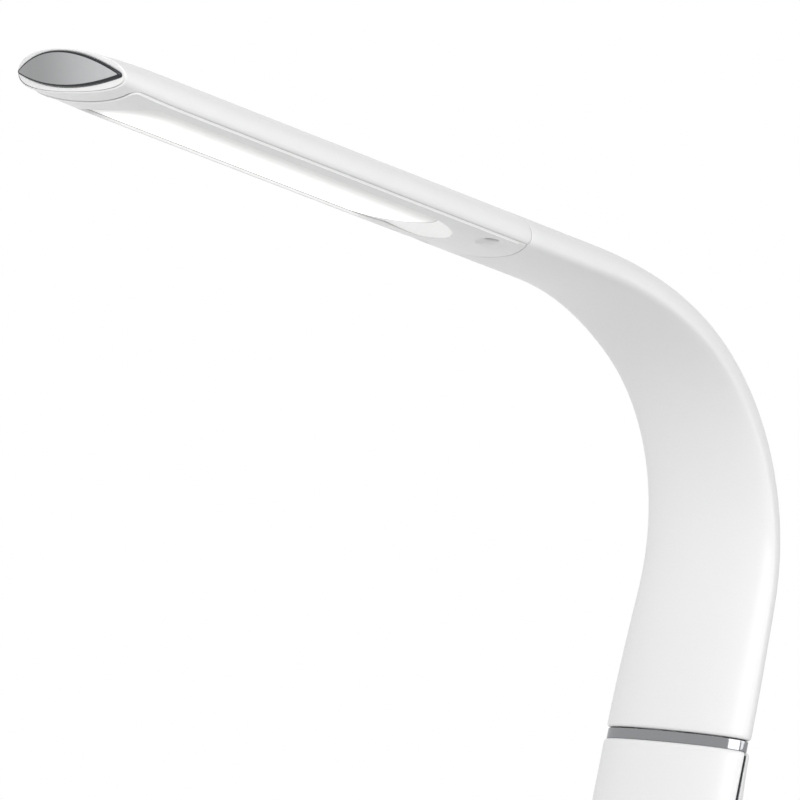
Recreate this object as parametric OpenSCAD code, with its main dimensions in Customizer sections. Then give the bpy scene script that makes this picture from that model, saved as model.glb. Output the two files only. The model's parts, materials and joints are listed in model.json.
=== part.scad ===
// Folding desk lamp with a long LED head on a broad curved arm.
// The arm swivels on a chrome collar, the stem folds on a friction hinge in the base,
// and three sprung buttons in the base switch and dim the light.
//
// World frame: +Z up, origin in the middle of the pad the base stands on, the head points to -Y.
// Lamp frame: origin in the middle of the collar, +Z up the stem, +Y to the back of the lamp.

/* [Pose] */
// Backward lean of the stem at rest, in degrees
lean = 16.6; // [0:0.1:22]

/* [Casings] */
// Wall of the moulded casings
wall = 1.6; // [1.2:0.1:2]
// Gap in the seams between two casings
seam_gap = 0.2; // [0.1:0.05:0.4]
// Gap between parts that move against each other
move_gap = 0.4; // [0.3:0.05:0.8]
// Rounding where the casings end at the collar
end_r = 1.2; // [0.6:0.1:1.6]

/* [Collar] */
// Width of the arm and stem at the collar
collar_w = 60; // [54:0.5:72]
// Depth of the arm behind its centre line at the collar
collar_back = 7.6; // [7.4:0.1:10]
// Depth of the arm and stem in front of their centre line at the collar
collar_front = 7.4; // [7.2:0.1:9]
// Height of the chrome ring
collar_h = 3.4; // [2.4:0.1:5]
// How far the chrome ring stands back from the casings
collar_inset = 0.7; // [0.3:0.1:1.2]

/* [Arm] */
// Straight rise of the arm above the middle of the collar
arm_rise = 47; // [40:1:70]
// Radius of the lower stretch of the bend
bend_low_r = 79; // [70:1:110]
// Turn of the lower stretch of the bend, in degrees
bend_low_turn = 63; // [50:1:72]
// Radius of the upper stretch of the bend
bend_high_r = 120; // [90:1:140]
// Straight reach of the arm from the bend to the head joint
arm_reach = 38.5; // [30:0.5:44]
// Width of the arm in the middle of the bend
arm_w = 49.4; // [44:0.2:60]
// Depth of the arm outside its centre line in the middle of the bend
arm_back = 12.1; // [10:0.1:14]
// Depth of the arm inside its centre line in the middle of the bend
arm_front = 3.2; // [2.6:0.1:5]
// Share of the arm's width that the back cover takes, in degrees to each side
back_cover_half = 50; // [40:1:56]

/* [Head] */
// Width of the head
head_w = 46; // [44:0.2:54]
// Distance from the front end of the lens opening to the middle of the tip
lens_front = 22; // [20:0.5:30]
// Height of the head above its centre line
head_top = 9.5; // [9:0.1:12]
// Depth of the head below its centre line
head_belly = 5; // [4:0.1:6]
// Angle under the side edge at which the belly seam runs, in degrees
seam_turn = 19.5; // [15:0.5:25]
// How far the end of the belly cover bows back towards the arm
belly_bow = 5.5; // [3:0.5:9]
// Length of the nose left under the tip at its sides
nose_side_l = 9; // [7:0.5:12]
// How much longer the nose is in the middle
nose_bow = 2; // [0:0.5:5]

/* [Tip] */
// Half width of the almond in the tip, up to where its arcs would meet
tip_half_w = 22.7; // [21:0.1:22.8]
// Rise of the upper edge of the almond
tip_rise = 5.7; // [4.6:0.1:6]
// Drop of the lower edge of the almond
tip_drop = 4.4; // [3.8:0.1:4.8]
// Rounding of the almond's two ends
tip_corner = 0.7; // [0.6:0.05:1.2]
// Height of the almond's corners above the head's centre line
tip_mid = 1.5; // [0:0.1:2]
// Radius of the curve of the tip seen from above
tip_r = 88; // [60:1:140]
// Forward rake of the tip, in degrees
tip_rake = 23.5; // [0:0.5:35]
// White rim above the almond
rim_top = 0.7; // [0.6:0.1:1.4]
// White rim below the almond
rim_low = 1.5; // [1:0.1:1.8]
// Width of the dark chrome bezel
bezel_w = 0.55; // [0.4:0.05:0.55]
// Depth of the bezel in the casing
bezel_h = 1.2; // [1:0.1:2]
// How far the bezel stands out of the casing
tip_proud = 1; // [0.6:0.1:1.2]
// Thickness of the mirror plate
plate_t = 0.8; // [0.5:0.1:1]

/* [Light] */
// Length of the lens opening
lens_l = 148; // [130:1:170]
// Width of the rim beside the lens opening
lens_rim = 5.8; // [5.4:0.1:7]
// Length over which the back end of the opening narrows
lens_taper_l = 25; // [22:1:40]
// Length of the ramp at the back end of the opening
lens_ramp_l = 10; // [6:0.5:12]
// Distance from the head joint to the back end of the opening
lens_back = 17; // [16.5:0.5:20]
// Thickness of the opal lens
lens_t = 1.2; // [0.8:0.1:1.4]
// Overlap of the lens on its seat
lens_lap = 0.6; // [0.4:0.1:0.8]
// Depth of the lens' face below the head's centre line
lens_edge = 2.4; // [1.8:0.05:2.6]
// Number of LEDs
led_count = 24; // [12:1:28]
// Length of one LED package
led_l = 3.5; // [2.8:0.1:4]
// Width of one LED package
led_w = 2.8; // [2:0.1:3.5]
// Height of one LED package
led_h = 0.7; // [0.5:0.1:0.9]
// Width of the LED board
led_board_w = 14; // [10:0.5:15]
// Thickness of the LED board
led_board_t = 1; // [0.8:0.1:1.2]
// Width of the heat spreader
spreader_w = 30; // [28:0.5:34]
// Thickness of the heat spreader
spreader_t = 2; // [1.5:0.1:2.5]

/* [Spine] */
// Width of the steel core of the arm
spine_w = 16; // [12:0.5:20]
// Thickness of the steel core of the arm
spine_t = 2.4; // [2:0.1:2.6]
// Height of the foot of the core
foot_h = 19; // [16:0.5:24]
// Width of the foot of the core
foot_w = 34; // [28:1:36]
// Half depth of the foot of the core
foot_half_t = 4.3; // [4.1:0.1:4.5]
// Diameter of the lamp's internal lead
lead_d = 2.4; // [1.8:0.1:2.6]

/* [Swivel] */
// Diameter of the swivel shaft
shaft_d = 6; // [5.6:0.1:6.2]
// Wire bore of the swivel shaft
shaft_bore_d = 3.4; // [3:0.1:3.8]
// Outer diameter of the swivel bush
bush_d = 7.6; // [7.4:0.1:7.8]
// Height of the swivel socket in the stem frame
socket_h = 18; // [14:0.5:24]
// Radial clearance of shafts in their bushes
run_gap = 0.05; // [0.02:0.01:0.08]
// Width of the swivel nut across its flats
swivel_nut_w = 10; // [9:0.5:10.5]
// Height of the swivel nut
swivel_nut_h = 4.5; // [3.5:0.5:6]

/* [Stem] */
// Length of the stem from the collar to the hinge axle
stem_l = 146; // [140:1:180]
// Depth of the stem behind its centre line once it has swelled
stem_back = 16; // [14:0.5:17]
// Length over which the back of the stem swells
stem_swell_l = 42; // [30:1:60]
// Distance of the hinge axle behind the stem's centre line
hinge_set_back = 4.3; // [3.5:0.1:5]
// Width of the channel in the stem frame
channel_w = 26; // [22:1:28]

/* [Hinge] */
// Radius of the hinge barrel
barrel_r = 11.7; // [10.5:0.1:11.8]
// Width of the hinge barrel
barrel_w = 34; // [30:1:36]
// Diameter of the hinge axle
axle_d = 8; // [6:0.5:9]
// Outer diameter of the hinge bushes
hinge_bush_d = 11; // [10:0.5:12]
// Height of the hinge axle above the desk
hinge_z = 31.5; // [31:0.1:36]
// Distance of the hinge axle behind the middle of the base
hinge_y = 50; // [46:1:52]
// Thickness of the bracket's two uprights
upright_t = 3; // [2:0.1:3.2]
// Thickness of the friction washers
friction_t = 0.5; // [0.4:0.05:0.6]

/* [Base] */
// Width of the base
base_w = 130; // [120:1:150]
// Length of the base
base_l = 170; // [160:1:176]
// Height of the base
base_h = 18; // [17.8:0.1:18.2]
// Height of the base's edge
base_edge_h = 8; // [7.4:0.1:10]
// Thickness of the rubber pad
pad_t = 1.5; // [1:0.1:2]
// Thickness of the bottom cover
bottom_t = 2; // [1.6:0.1:2.4]
// Height of the chrome trim ring
trim_h = 2; // [1.2:0.1:2.4]
// How far the trim ring stands out from the base
trim_out = 0.4; // [0.2:0.1:1]
// Thickness of the steel ballast
ballast_t = 6; // [4:0.1:6.2]
// Distance of the ballast from the outline of the base
ballast_inset = 13; // [12:0.5:20]

/* [Controls] */
// Diameter of a button
button_d = 10; // [8:0.5:11]
// Distance between the buttons
button_pitch = 22; // [18:0.5:23]
// Travel of a button
button_travel = 0.6; // [0.3:0.05:0.7]
// Height of a button above the base
button_out = 0.9; // [0.7:0.05:1.1]
// Distance of the buttons in front of the middle of the base
button_y = 24; // [18:1:26]
// Length of the button surround beyond the outer buttons' middles
surround_end = 11; // [8.5:0.5:12]
// Depth of the button surround
surround_l = 16; // [14:0.5:18]

/* [Hidden] */
$fn = 48;
fit = 0.02;             // clearance of parts that are fixed in each other
surround_w = 2 * (button_pitch + surround_end);
screw_r = 1.25;         // small self-tapping screw
screw_head_r = 2.2;
screw_head_h = 1.4;
roundness = 2.18;       // exponent of the oval cross-section
white = "#f5f5f3";
chrome = "#c9ccd0";
dark_chrome = "#55585c";
steel = "#9a9da1";

// ---- centre line of the arm and head, by its length s from the middle of the collar ----
s_low = arm_rise;
s_mid = s_low + bend_low_r * bend_low_turn * PI / 180;
s_high = s_mid + bend_high_r * (90 - bend_low_turn) * PI / 180;
s_joint = s_high + arm_reach;
head_l = lens_back + lens_l + lens_front;
s_tip = s_joint + head_l;
arm_start = collar_h / 2 + move_gap;
foot_low = arm_start + 0.9;
low_centre = [-bend_low_r, arm_rise];
high_centre = low_centre + (bend_low_r - bend_high_r) * [cos(bend_low_turn), sin(bend_low_turn)];

function turn(s) = s < s_low ? 0
    : s < s_mid ? (s - s_low) / bend_low_r * 180 / PI
    : s < s_high ? bend_low_turn + (s - s_mid) / bend_high_r * 180 / PI : 90;
function centre(s) = s < s_low ? [0, s]
    : s < s_mid ? low_centre + bend_low_r * [cos(turn(s)), sin(turn(s))]
    : s < s_high ? high_centre + bend_high_r * [cos(turn(s)), sin(turn(s))]
    : high_centre + [s_high - s, bend_high_r];
// A point x to the side of the centre line and q outside it
function at_line(x, q, s) = let (c = centre(s), a = turn(s))
    [x, c[0] + q * cos(a), c[1] + q * sin(a)];

// ---- cross-section: width, height of its top, side edge and bottom from the centre line ----
function ease(a, b, u) = let (k = min(1, max(0, u))) a + (b - a) * (3 - 2 * k) * k * k;
function along(at_collar, in_bend, at_head, s) = s < s_mid
    ? ease(at_collar, in_bend, s / s_mid)
    : ease(in_bend, at_head, (s - s_mid) / (s_high - s_mid));
nose_l = 34;
function nose_u(s) = max(0, (s - (s_tip - nose_l)) / nose_l);
function width(s) = along(collar_w, arm_w, head_w, s);
function top(s) = along(collar_back, arm_back, head_top, s)
    + (tip_mid + tip_rise + rim_top - head_top) * pow(nose_u(s), 3);
function side(s) = tip_mid * pow(nose_u(s), 2);
function bottom(s) = -along(collar_front, arm_front, head_belly, s)
    + (tip_mid - tip_drop - rim_low + head_belly) * pow(nose_u(s), 2);
function power(v, p) = sign(v) * pow(abs(v), p);
// Offsets [x, q] of the skin at the angle t: 0 is the +X side, 90 the outside, 270 the inside
function oval(t, w, up, mid, down) = [
    w / 2 * power(cos(t), 2 / roundness),
    mid + (sin(t) > 0 ? up - mid : mid - down) * power(sin(t), 2 / roundness)
];
function skin_offsets(s, t, depth) =
    oval(t, width(s) - 2 * depth, top(s) - depth, side(s), bottom(s) + depth);
function skin(s, t, depth) = let (o = skin_offsets(s, t, depth)) at_line(o[0], o[1], s);
// Rounding of the casing's end at the collar
function end_round(s) = let (u = max(0, end_r - (s - arm_start))) end_r - sqrt(end_r * end_r - u * u);
// The face of the tip: a cylinder that leans forward
tip_top_lead = tan(tip_rake);
function tip_cut(x, q) = s_tip + (q - tip_mid) * tip_top_lead
    - (tip_r - sqrt(tip_r * tip_r - x * x)) / cos(tip_rake);
function tip_s(t, depth) = let (o = skin_offsets(s_tip, t, depth)) tip_cut(o[0], o[1]);

// ---- surfaces built from rows of points ----
function quad(a, b, c, d) = [[a, b, c], [a, c, d]];
// A curved sheet between an outer and an inner grid of rows
module sheet(outer, inner) {
    rows = len(outer);
    n = len(outer[0]);
    m = rows * n;
    points = concat([for (r = outer) each r], [for (r = inner) each r]);
    grid = [for (k = [0:rows - 2]) for (j = [0:n - 2]) k * n + j];
    faces = concat(
        [for (g = grid) each quad(g, g + n, g + n + 1, g + 1)],
        [for (g = grid) each quad(m + g, m + g + 1, m + g + n + 1, m + g + n)],
        [for (k = [0:rows - 2]) each quad(k * n, m + k * n, m + k * n + n, k * n + n)],
        [for (k = [1:rows - 1]) each quad(k * n - 1, k * n + n - 1, m + k * n + n - 1, m + k * n - 1)],
        [for (j = [0:n - 2]) each quad(j, j + 1, m + j + 1, m + j)],
        [for (j = [m - n:m - 2]) each quad(j, m + j, m + j + 1, j + 1)]
    );
    polyhedron(points, faces);
}
// A solid through closed rings of points that start at the +X side; each end is closed by strips
// between the upper and the lower half of its ring
module loft(rings) {
    n = len(rings[0]);
    half = n / 2;
    last = (len(rings) - 1) * n;
    walls = [for (k = [0:len(rings) - 2]) for (j = [0:n - 1])
        each quad(k * n + j, k * n + n + j, k * n + n + (j + 1) % n, k * n + (j + 1) % n)];
    strips = [for (j = [1:half - 2]) each quad(j, j + 1, n - j - 1, n - j)];
    ends = concat([[0, 1, n - 1], [half - 1, half, half + 1]], strips);
    polyhedron([for (r = rings) each r], concat(walls, ends,
        [for (f = ends) [last + f[2], last + f[1], last + f[0]]]));
}
// A round lead of radius r through points that lie in one plane of constant x
module lead(points, r) {
    last = len(points) - 1;
    loft([for (k = [0:last])
        let (d = points[min(k + 1, last)] - points[max(k - 1, 0)], v = d / norm(d))
        [for (j = [0:7]) let (a = 45 * j)
            points[k] + r * [cos(a), -v[2] * sin(a), v[1] * sin(a)]]
    ]);
}
function spread(a, b, n) = [for (k = [0:n]) a + (b - a) * k / n];

// ---- placing ----
module posed() translate([0, hinge_y, hinge_z]) rotate([-lean, 0, 0])
    translate([0, -hinge_set_back, stem_l]) children();
// Children sit on the centre line at s: X is the lamp's X, -Y runs along the line, Z points out
module on_line(s) translate([0, centre(s)[0], centre(s)[1]]) rotate([turn(s) - 90, 0, 0]) children();
module both_sides() {
    children();
    mirror([1, 0, 0]) children();
}
module tube(r_out, r_in, h) difference() {
    cylinder(h = h, r = r_out);
    translate([0, 0, -1]) cylinder(h = h + 2, r = r_in);
}
// A pan-head screw whose head rests on z = 0 and whose shank points to -Z
module screw(shank_l, r = screw_r, head_r = screw_head_r, head_h = screw_head_h) difference() {
    union() {
        cylinder(h = head_h, r = head_r);
        translate([0, 0, -shank_l]) cylinder(h = shank_l + head_h / 2, r = r);
    }
    translate([0, 0, head_h / 2]) cylinder(h = head_h, r = head_r * 0.45, $fn = 6);
}

// ---- heights inside the head, all from the centre line ----
spine_low = 0.8;
spine_top = spine_low + spine_t;
spreader_low = spine_top;
spreader_high = spreader_low + spreader_t;
lens_low = spine_low - lens_t;
joint_lap = 20;             // the spine under the heat spreader
spreader_more = 13;
spreader_l = lens_l + spreader_more;
spreader_start = s_joint + 2;
board_start = s_joint + 28;
board_less = 14;
board_l = lens_l - board_less;

// ---- head ----
seam_upper = -seam_turn;
seam_lower = seam_turn + asin(seam_gap / (head_belly * cos(seam_turn)));
edge_x = width(s_joint) / 2 * pow(cos(seam_turn), 2 / roundness);
function belly_back(x) = s_joint - belly_bow * max(0, 1 - pow(x / edge_x, 2));
belly_corner = 3;
function rounded_in(x) = let (u = max(0, abs(x) - edge_x + belly_corner))
    belly_corner - sqrt(max(0, belly_corner * belly_corner - u * u));
function belly_front(x) = s_tip - nose_side_l - nose_bow * max(0, 1 - pow(x / edge_x, 2)) - rounded_in(x);
belly_angles = concat(spread(180 + seam_lower, 195 + seam_lower, 5),
    spread(207 + seam_lower, 333 - seam_lower, 7), spread(345 - seam_lower, 360 - seam_lower, 5));
head_rows = concat([s_joint + seam_gap], spread(s_joint + 60, s_tip - nose_l, 2),
    spread(s_tip - nose_l + 6, s_tip - 10, 3));
function row(s, angles, depth) = [for (t = angles) skin(s, t, depth)];
function tip_row(angles, depth) = [for (t = angles)
    let (o = skin_offsets(s_tip, t, depth)) at_line(o[0], o[1], tip_cut(o[0], o[1]))];
upper_angles = spread(seam_upper, 180 - seam_upper, 26);
module head_upper_skin() sheet(
    concat([for (s = head_rows) row(s, upper_angles, 0)], [tip_row(upper_angles, 0)]),
    concat([for (s = head_rows) row(s, upper_angles, wall)], [tip_row(upper_angles, wall)]));
// The nose closes the head below the tip; it lies a hair inside the upper skin where they join
nose_angles = concat([180 - seam_upper - 4], belly_angles, [360 + seam_upper + 4]);
nose_tuck = 0.03;
function nose_row(u, depth) = [for (t = nose_angles)
    let (x = skin_offsets(s_tip, t, 0)[0], a = belly_front(x) + seam_gap, s = a + (tip_s(t, depth) - a) * u,
        o = skin_offsets(min(s, s_tip), t, depth)) at_line(o[0], o[1], s)];
module nose_skin() sheet(
    [for (u = spread(0, 1, 4)) nose_row(u, nose_tuck)],
    [for (u = spread(0, 1, 4)) nose_row(u, wall - nose_tuck)]);
nose_wall_t = 5;
module nose_wall() loft([for (back = [nose_wall_t, 0]) [for (t = spread(0, 350, 35))
    let (o = skin_offsets(s_tip - back, t, wall / 2)) at_line(o[0], o[1], tip_cut(o[0], o[1]) - back)]]);
module almond(grow) {
    r_up = (pow(tip_half_w, 2) + pow(tip_rise, 2)) / (2 * tip_rise);
    r_down = (pow(tip_half_w, 2) + pow(tip_drop, 2)) / (2 * tip_drop);
    low = tip_rise - r_up;
    high = r_down - tip_drop;
    a = r_up - tip_corner;
    b = r_down - tip_corner;
    y = (a * a - b * b - low * low + high * high) / (2 * (high - low));
    x = sqrt(a * a - pow(y - low, 2));
    up = [x, y - low] * (r_up + grow) / a + [0, low];
    down = [x, y - high] * (r_down + grow) / b + [0, high];
    translate([0, tip_mid]) {
        intersection() {
            translate([0, low]) circle(r = r_up + grow, $fn = 360);
            translate([0, high]) circle(r = r_down + grow, $fn = 360);
            polygon([up, [up[0], 20], [-up[0], 20], [-up[0], up[1]],
                [-down[0], down[1]], [-down[0], -20], [down[0], -20], down]);
        }
        for (side = [-1, 1]) translate([side * x, y]) circle(r = tip_corner + grow);
    }
}
module almond_prism(grow) on_line(s_tip) rotate([90, 0, 0])
    translate([0, 0, -15]) linear_extrude(30) almond(grow);
module tip_cylinder(depth) on_line(s_tip) translate([0, 0, tip_mid]) rotate([tip_rake, 0, 0])
    translate([0, tip_r, -40]) cylinder(h = 80, r = tip_r - depth, $fn = 360);
plate_front = 0.1 - tip_proud;
plate_seat = plate_front + plate_t;
module spreader_holes() for (s = [spreader_start + 32, spreader_start + spreader_l - 8])
    on_line(s) both_sides() translate([spreader_w / 2 - 4, 0, 0]) children();
cover_screw_s = s_joint + 10;
cover_screw_x = 15.6;
boss_r = 2.8;
module cover_screw_places() on_line(cover_screw_s) both_sides() translate([cover_screw_x, 0, 0]) children();
function skin_q(s, x, depth) = top(s) - depth - (top(s) - depth)
    * (1 - pow(1 - pow(2 * x / (width(s) - 2 * depth), roundness), 1 / roundness));
spreader_boss_top = skin_q(s_high, spreader_w / 2 - 4 + boss_r, wall / 3);
cover_boss_top = skin_q(s_high, cover_screw_x + boss_r, wall / 3);
cover_boss_low = 1.6;

module head_upper_shell() color(white) posed() difference() {
    union() {
        head_upper_skin();
        nose_skin();
        nose_wall();
        spreader_holes() translate([0, 0, spreader_high])
            cylinder(h = spreader_boss_top - spreader_high, r = boss_r);
        cover_screw_places() translate([0, 0, cover_boss_low])
            cylinder(h = cover_boss_top - cover_boss_low, r = boss_r);
    }
    difference() {
        almond_prism(fit);
        tip_cylinder(bezel_h + fit);
    }
    spreader_holes() translate([0, 0, spreader_high - 1]) cylinder(h = 3.6, r = screw_r);
    cover_screw_places() translate([0, 0, cover_boss_low - 1]) cylinder(h = 5, r = screw_r);
}

belly_rows = [0, 0.2, 0.4, 0.6, 0.8, 0.86, 0.91, 0.96, 1];
function belly_row(u, depth) = [for (t = belly_angles)
    let (x = skin_offsets(s_joint, t, 0)[0], a = belly_back(x) + seam_gap, b = belly_front(x),
        s = a + (b - a) * u, o = skin_offsets(s, t, depth)) at_line(o[0], o[1], s)];
lens_w = head_w - 2 * lens_rim;
ramp_taper_l = lens_taper_l - lens_ramp_l;
module lens_outline(grow, taper) {
    half = lens_w / 2 + grow;
    back = taper + grow;
    square_end = s_joint + lens_back + lens_taper_l;
    front = s_joint + lens_back + lens_l + grow;
    corner = 5 + grow;
    polygon(concat(
        [for (a = spread(-90, 90, 24)) [half * sin(a), -(square_end - back * cos(a))]],
        [for (a = spread(0, 90, 4)) [half - corner + corner * cos(a), -(front - corner + corner * sin(a))]],
        [for (a = spread(90, 180, 4)) [corner - half + corner * cos(a), -(front - corner + corner * sin(a))]]
    ));
}
module lens_prism(low, high, grow, taper = ramp_taper_l)
    translate([0, high_centre[0] + s_high, high_centre[1] + bend_high_r + low])
        linear_extrude(high - low) lens_outline(grow, taper);
// The back end of the opening slopes from the skin down to the lens
module lens_ramp() intersection() {
    lens_prism(-head_belly - 1, -lens_edge, 0, lens_taper_l);
    on_line(s_joint + lens_back) translate([0, 0, -head_belly])
        rotate([-atan((head_belly - lens_edge) / lens_ramp_l), 0, 0])
            translate([-head_w / 2, -2 * lens_taper_l, -head_belly]) cube([head_w, 2 * lens_taper_l + 5, head_belly]);
}
seat_depth = 0.4;
module belly_core() loft([for (s = [s_joint + 14, s_tip - nose_l, s_tip - nose_l + 12])
    [for (t = spread(0, 350, 35)) skin(s, t, seat_depth)]]);
// Screw wells: a shallow dish down to the screw's hole
well_r = 4.65;
well_d = 1.2;
well_hole_r = screw_head_r + 0.3;
cover_seat = -0.4;
belly_q = -head_belly * pow(1 - pow(2 * cover_screw_x / head_w, roundness), 1 / roundness);
module head_lower_cover() color(white) posed() difference() {
    union() {
        sheet([for (u = belly_rows) belly_row(u, 0)], [for (u = belly_rows) belly_row(u, wall)]);
        intersection() {
            lens_prism(-head_belly, lens_low - fit, wall, lens_taper_l);
            belly_core();
        }
        cover_screw_places() translate([0, 0, belly_q + well_d])
            cylinder(h = cover_boss_low - fit - belly_q - well_d, r = well_hole_r + 1);
    }
    lens_prism(-2 * head_belly, head_top, 0);
    lens_ramp();
    cover_screw_places() {
        translate([0, 0, -head_belly - 1]) cylinder(h = head_belly + 1 + cover_seat, r = well_hole_r);
        translate([0, 0, belly_q - 2 * well_d])
            cylinder(h = 3 * well_d, r1 = 3 * well_r - 2 * well_hole_r, r2 = well_hole_r);
        translate([0, 0, -2]) cylinder(h = 8, r = screw_r + 0.2);
    }
}
module diffuser_lens() color("#fdfdf8") posed() difference() {
    union() {
        lens_prism(lens_low, lens_low + lens_t, lens_lap);
        lens_prism(-lens_edge, lens_low + lens_t / 2, -0.15);
    }
    lens_prism(lens_t - lens_edge, lens_low + lens_t + 1, -0.15 - lens_t);
}
module heat_spreader() color("#b9bcc0") posed() difference() {
    on_line(spreader_start) translate([-spreader_w / 2, -spreader_l, spreader_low])
        cube([spreader_w, spreader_l, spreader_t]);
    spreader_holes() translate([0, 0, spreader_low - 1]) cylinder(h = spreader_t + 2, r = screw_r + 0.2);
    head_joint_places() translate([0, 0, spreader_low - 1]) cylinder(h = spreader_t + 2, r = joint_screw_r + 0.1);
    cover_screw_places() translate([0, 0, spreader_low - 1]) cylinder(h = spreader_t + 2, r = boss_r + 0.3);
    on_line(lead_hole_s - 0.6) translate([lead_x, 0, spreader_low - 1])
        cylinder(h = spreader_t + 2, r = lead_d / 2 + 1.3);
}
module led_board() color("#e9e9e4") posed()
    on_line(board_start) translate([-led_board_w / 2, -board_l, spreader_low - led_board_t])
        cube([led_board_w, board_l, led_board_t]);
led_pitch = (board_l - 8) / led_count;
module led_chips() color("#f3e9a8") posed() for (k = [0:led_count - 1])
    on_line(board_start + 4 + led_pitch * (k + 0.5))
        translate([-led_w / 2, -led_l / 2, spreader_low - led_board_t - led_h]) cube([led_w, led_l, led_h]);
module spreader_screws() color(steel) posed() spreader_holes() translate([0, 0, spreader_low - fit])
    rotate([180, 0, 0]) screw(spreader_t + 2.4, screw_r - fit);
module cover_screws() color(steel) posed() cover_screw_places() translate([0, 0, cover_seat - fit])
    rotate([180, 0, 0]) screw(cover_boss_low - cover_seat + 2.8, screw_r - fit);
module tip_bezel() color(dark_chrome) posed() difference() {
    intersection() {
        almond_prism(0);
        tip_cylinder(-tip_proud);
    }
    difference() {
        almond_prism(-bezel_w);
        tip_cylinder(plate_seat);
    }
    tip_cylinder(bezel_h);
}
module tip_plate() color("#a7aaad") posed() difference() {
    intersection() {
        almond_prism(-bezel_w - fit);
        tip_cylinder(plate_front);
    }
    tip_cylinder(plate_seat - fit);
}

// ---- arm ----
joint_screw_r = 1.5;
lead_hole_s = board_start + 4;
arm_screw_stations = [arm_start + foot_h + 20, s_mid];
back_from = 90 - back_cover_half;
back_to = 90 + back_cover_half;
gap_turn = seam_gap * 180 / (PI * collar_back);
arm_rows = concat(
    [for (u = [0, 0.12, 0.4, 1]) arm_start + end_r * u],
    [for (s = spread(arm_start + end_r + 10, s_low, 3)) s],
    [for (k = [1:10]) s_low + (s_mid - s_low) * k / 10],
    [for (k = [1:5]) s_mid + (s_high - s_mid) * k / 5]
);
front_angles = spread(back_to - 360, back_from, 26);
module arm_front_shell() color(white) posed() difference() {
    union() {
        sheet(
            concat([for (s = arm_rows) row(s, front_angles, end_round(s))],
                [for (u = [0.5, 1]) joint_row(u, front_angles, 0)]),
            concat([for (s = arm_rows) row(s, front_angles, wall)],
                [for (u = [0.5, 1]) joint_row(u, front_angles, wall)]));
        for (s = arm_screw_stations) on_line(s) translate([0, 0, bottom(s) + wall / 2])
            cylinder(h = spine_low - 0.4 - fit - bottom(s) - wall / 2, r = boss_r);
    }
    for (s = arm_screw_stations) on_line(s) translate([0, 0, bottom(s) + wall / 2 + 0.6])
        cylinder(h = 10, r = screw_r);
}
// Rows between the bend and the head joint, whose lower edge follows the belly cover's bowed end
function joint_row(u, angles, depth) = [for (t = angles)
    let (x = skin_offsets(s_joint, t, 0)[0], end = sin(t) < sin(seam_upper) - 0.01 ? belly_back(x) : s_joint,
        s = s_high + (end - s_high) * u) skin(s, t, depth)];
back_angles = spread(back_from + gap_turn, back_to - gap_turn, 10);
module arm_back_cover() color(white) posed() sheet(
    concat([for (s = arm_rows) row(s, back_angles, end_round(s))], [row(s_joint, back_angles, 0)]),
    concat([for (s = arm_rows) row(s, back_angles, wall)], [row(s_joint, back_angles, wall)]));
spine_stations = concat([foot_low + 1], spread(s_low, s_mid, 14), spread(s_mid + 5, s_high, 8), [s_joint + joint_lap + 2]);
module spine_strip() loft([for (s = spine_stations) [for (c = [[1, 0], [1, 1], [-1, 1], [-1, 0]])
    at_line(c[0] * spine_w / 2, spine_low + c[1] * spine_t, s)]]);
module head_joint_places() for (k = [0.25, 0.75])
    on_line(spreader_start + k * joint_lap) children();
module arm_spine() color(steel) posed() difference() {
    union() {
        translate([-foot_w / 2, -foot_half_t, foot_low]) cube([foot_w, 2 * foot_half_t, foot_h]);
        for (s = arm_screw_stations) on_line(s) translate([-spine_w / 2 - 0.5, -5, spine_low - 0.4])
            cube([spine_w + 1, 10, spine_t + 0.8]);
        spine_strip();
    }
    cylinder(h = 2 * foot_h, r = shaft_d / 2 + fit);
    translate([0, 0, foot_low + foot_h / 2]) rotate([0, 90, 0]) cylinder(h = foot_w + 2, r = screw_r + fit, center = true);
    translate([-lead_d / 2 - 0.5, -foot_half_t, foot_low + foot_h - 3]) cube([2 * lead_d + 1, 3 * foot_half_t, 12]);
    for (s = arm_screw_stations) on_line(s) translate([0, 0, -5]) cylinder(h = 12, r = screw_r + 0.2);
    head_joint_places() translate([0, 0, -5]) cylinder(h = 12, r = joint_screw_r - 0.1);
}
module arm_screws() color(steel) posed() for (s = arm_screw_stations)
    on_line(s) translate([0, 0, spine_top + 0.4 + fit]) screw(spine_top - bottom(s) - wall + 0.4, screw_r - fit);
module head_joint_screws() color(steel) posed() head_joint_places()
    translate([0, 0, spreader_high + fit]) screw(spreader_high - spine_low, joint_screw_r - 0.1 - fit, 2.8, 1.6);
lead_x = 5;                 // the lead runs beside the screw heads
lead_q = spine_top + lead_d / 2 + 0.5;
lead_bend_s = foot_low + foot_h;
lead_over = spreader_high + lead_d / 2 + 0.05;
shaft_bottom = -collar_h / 2 - socket_h - 4 - swivel_nut_h - 1;
lead_line = concat(
    [[shaft_bottom - 3, 0, 0], [0, 0, 0], [lead_bend_s - 4, 0, 0], [lead_bend_s + 2, 0.5, 0]],
    [[lead_bend_s + 6, lead_q, 0.2 * lead_x], [lead_bend_s + 10, lead_q, 0.6 * lead_x]],
    [[lead_bend_s + 14, lead_q, lead_x]],
    [for (s = spread(s_low + 4, s_high, 18)) [s, lead_q, lead_x]],
    [[s_high + 6, lead_q, lead_x], [s_joint - 4, lead_over, lead_x], [lead_hole_s - 2.8, lead_over, lead_x],
        [lead_hole_s - 1, lead_over - 0.7, lead_x], [lead_hole_s, lead_over - 2.6, lead_x],
        [lead_hole_s, spreader_low + 0.1, lead_x]]
);
module arm_lead() color("#303133") posed() lead([for (p = lead_line) at_line(p[2], p[1], p[0])], lead_d / 2);
clip_w = 6;
clip_l = 3;
clip_first = 20;
clip_second = 10;
clip_last = 12;
clip_stations = [s_low + clip_first, s_mid - clip_second, s_high - clip_last];
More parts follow.
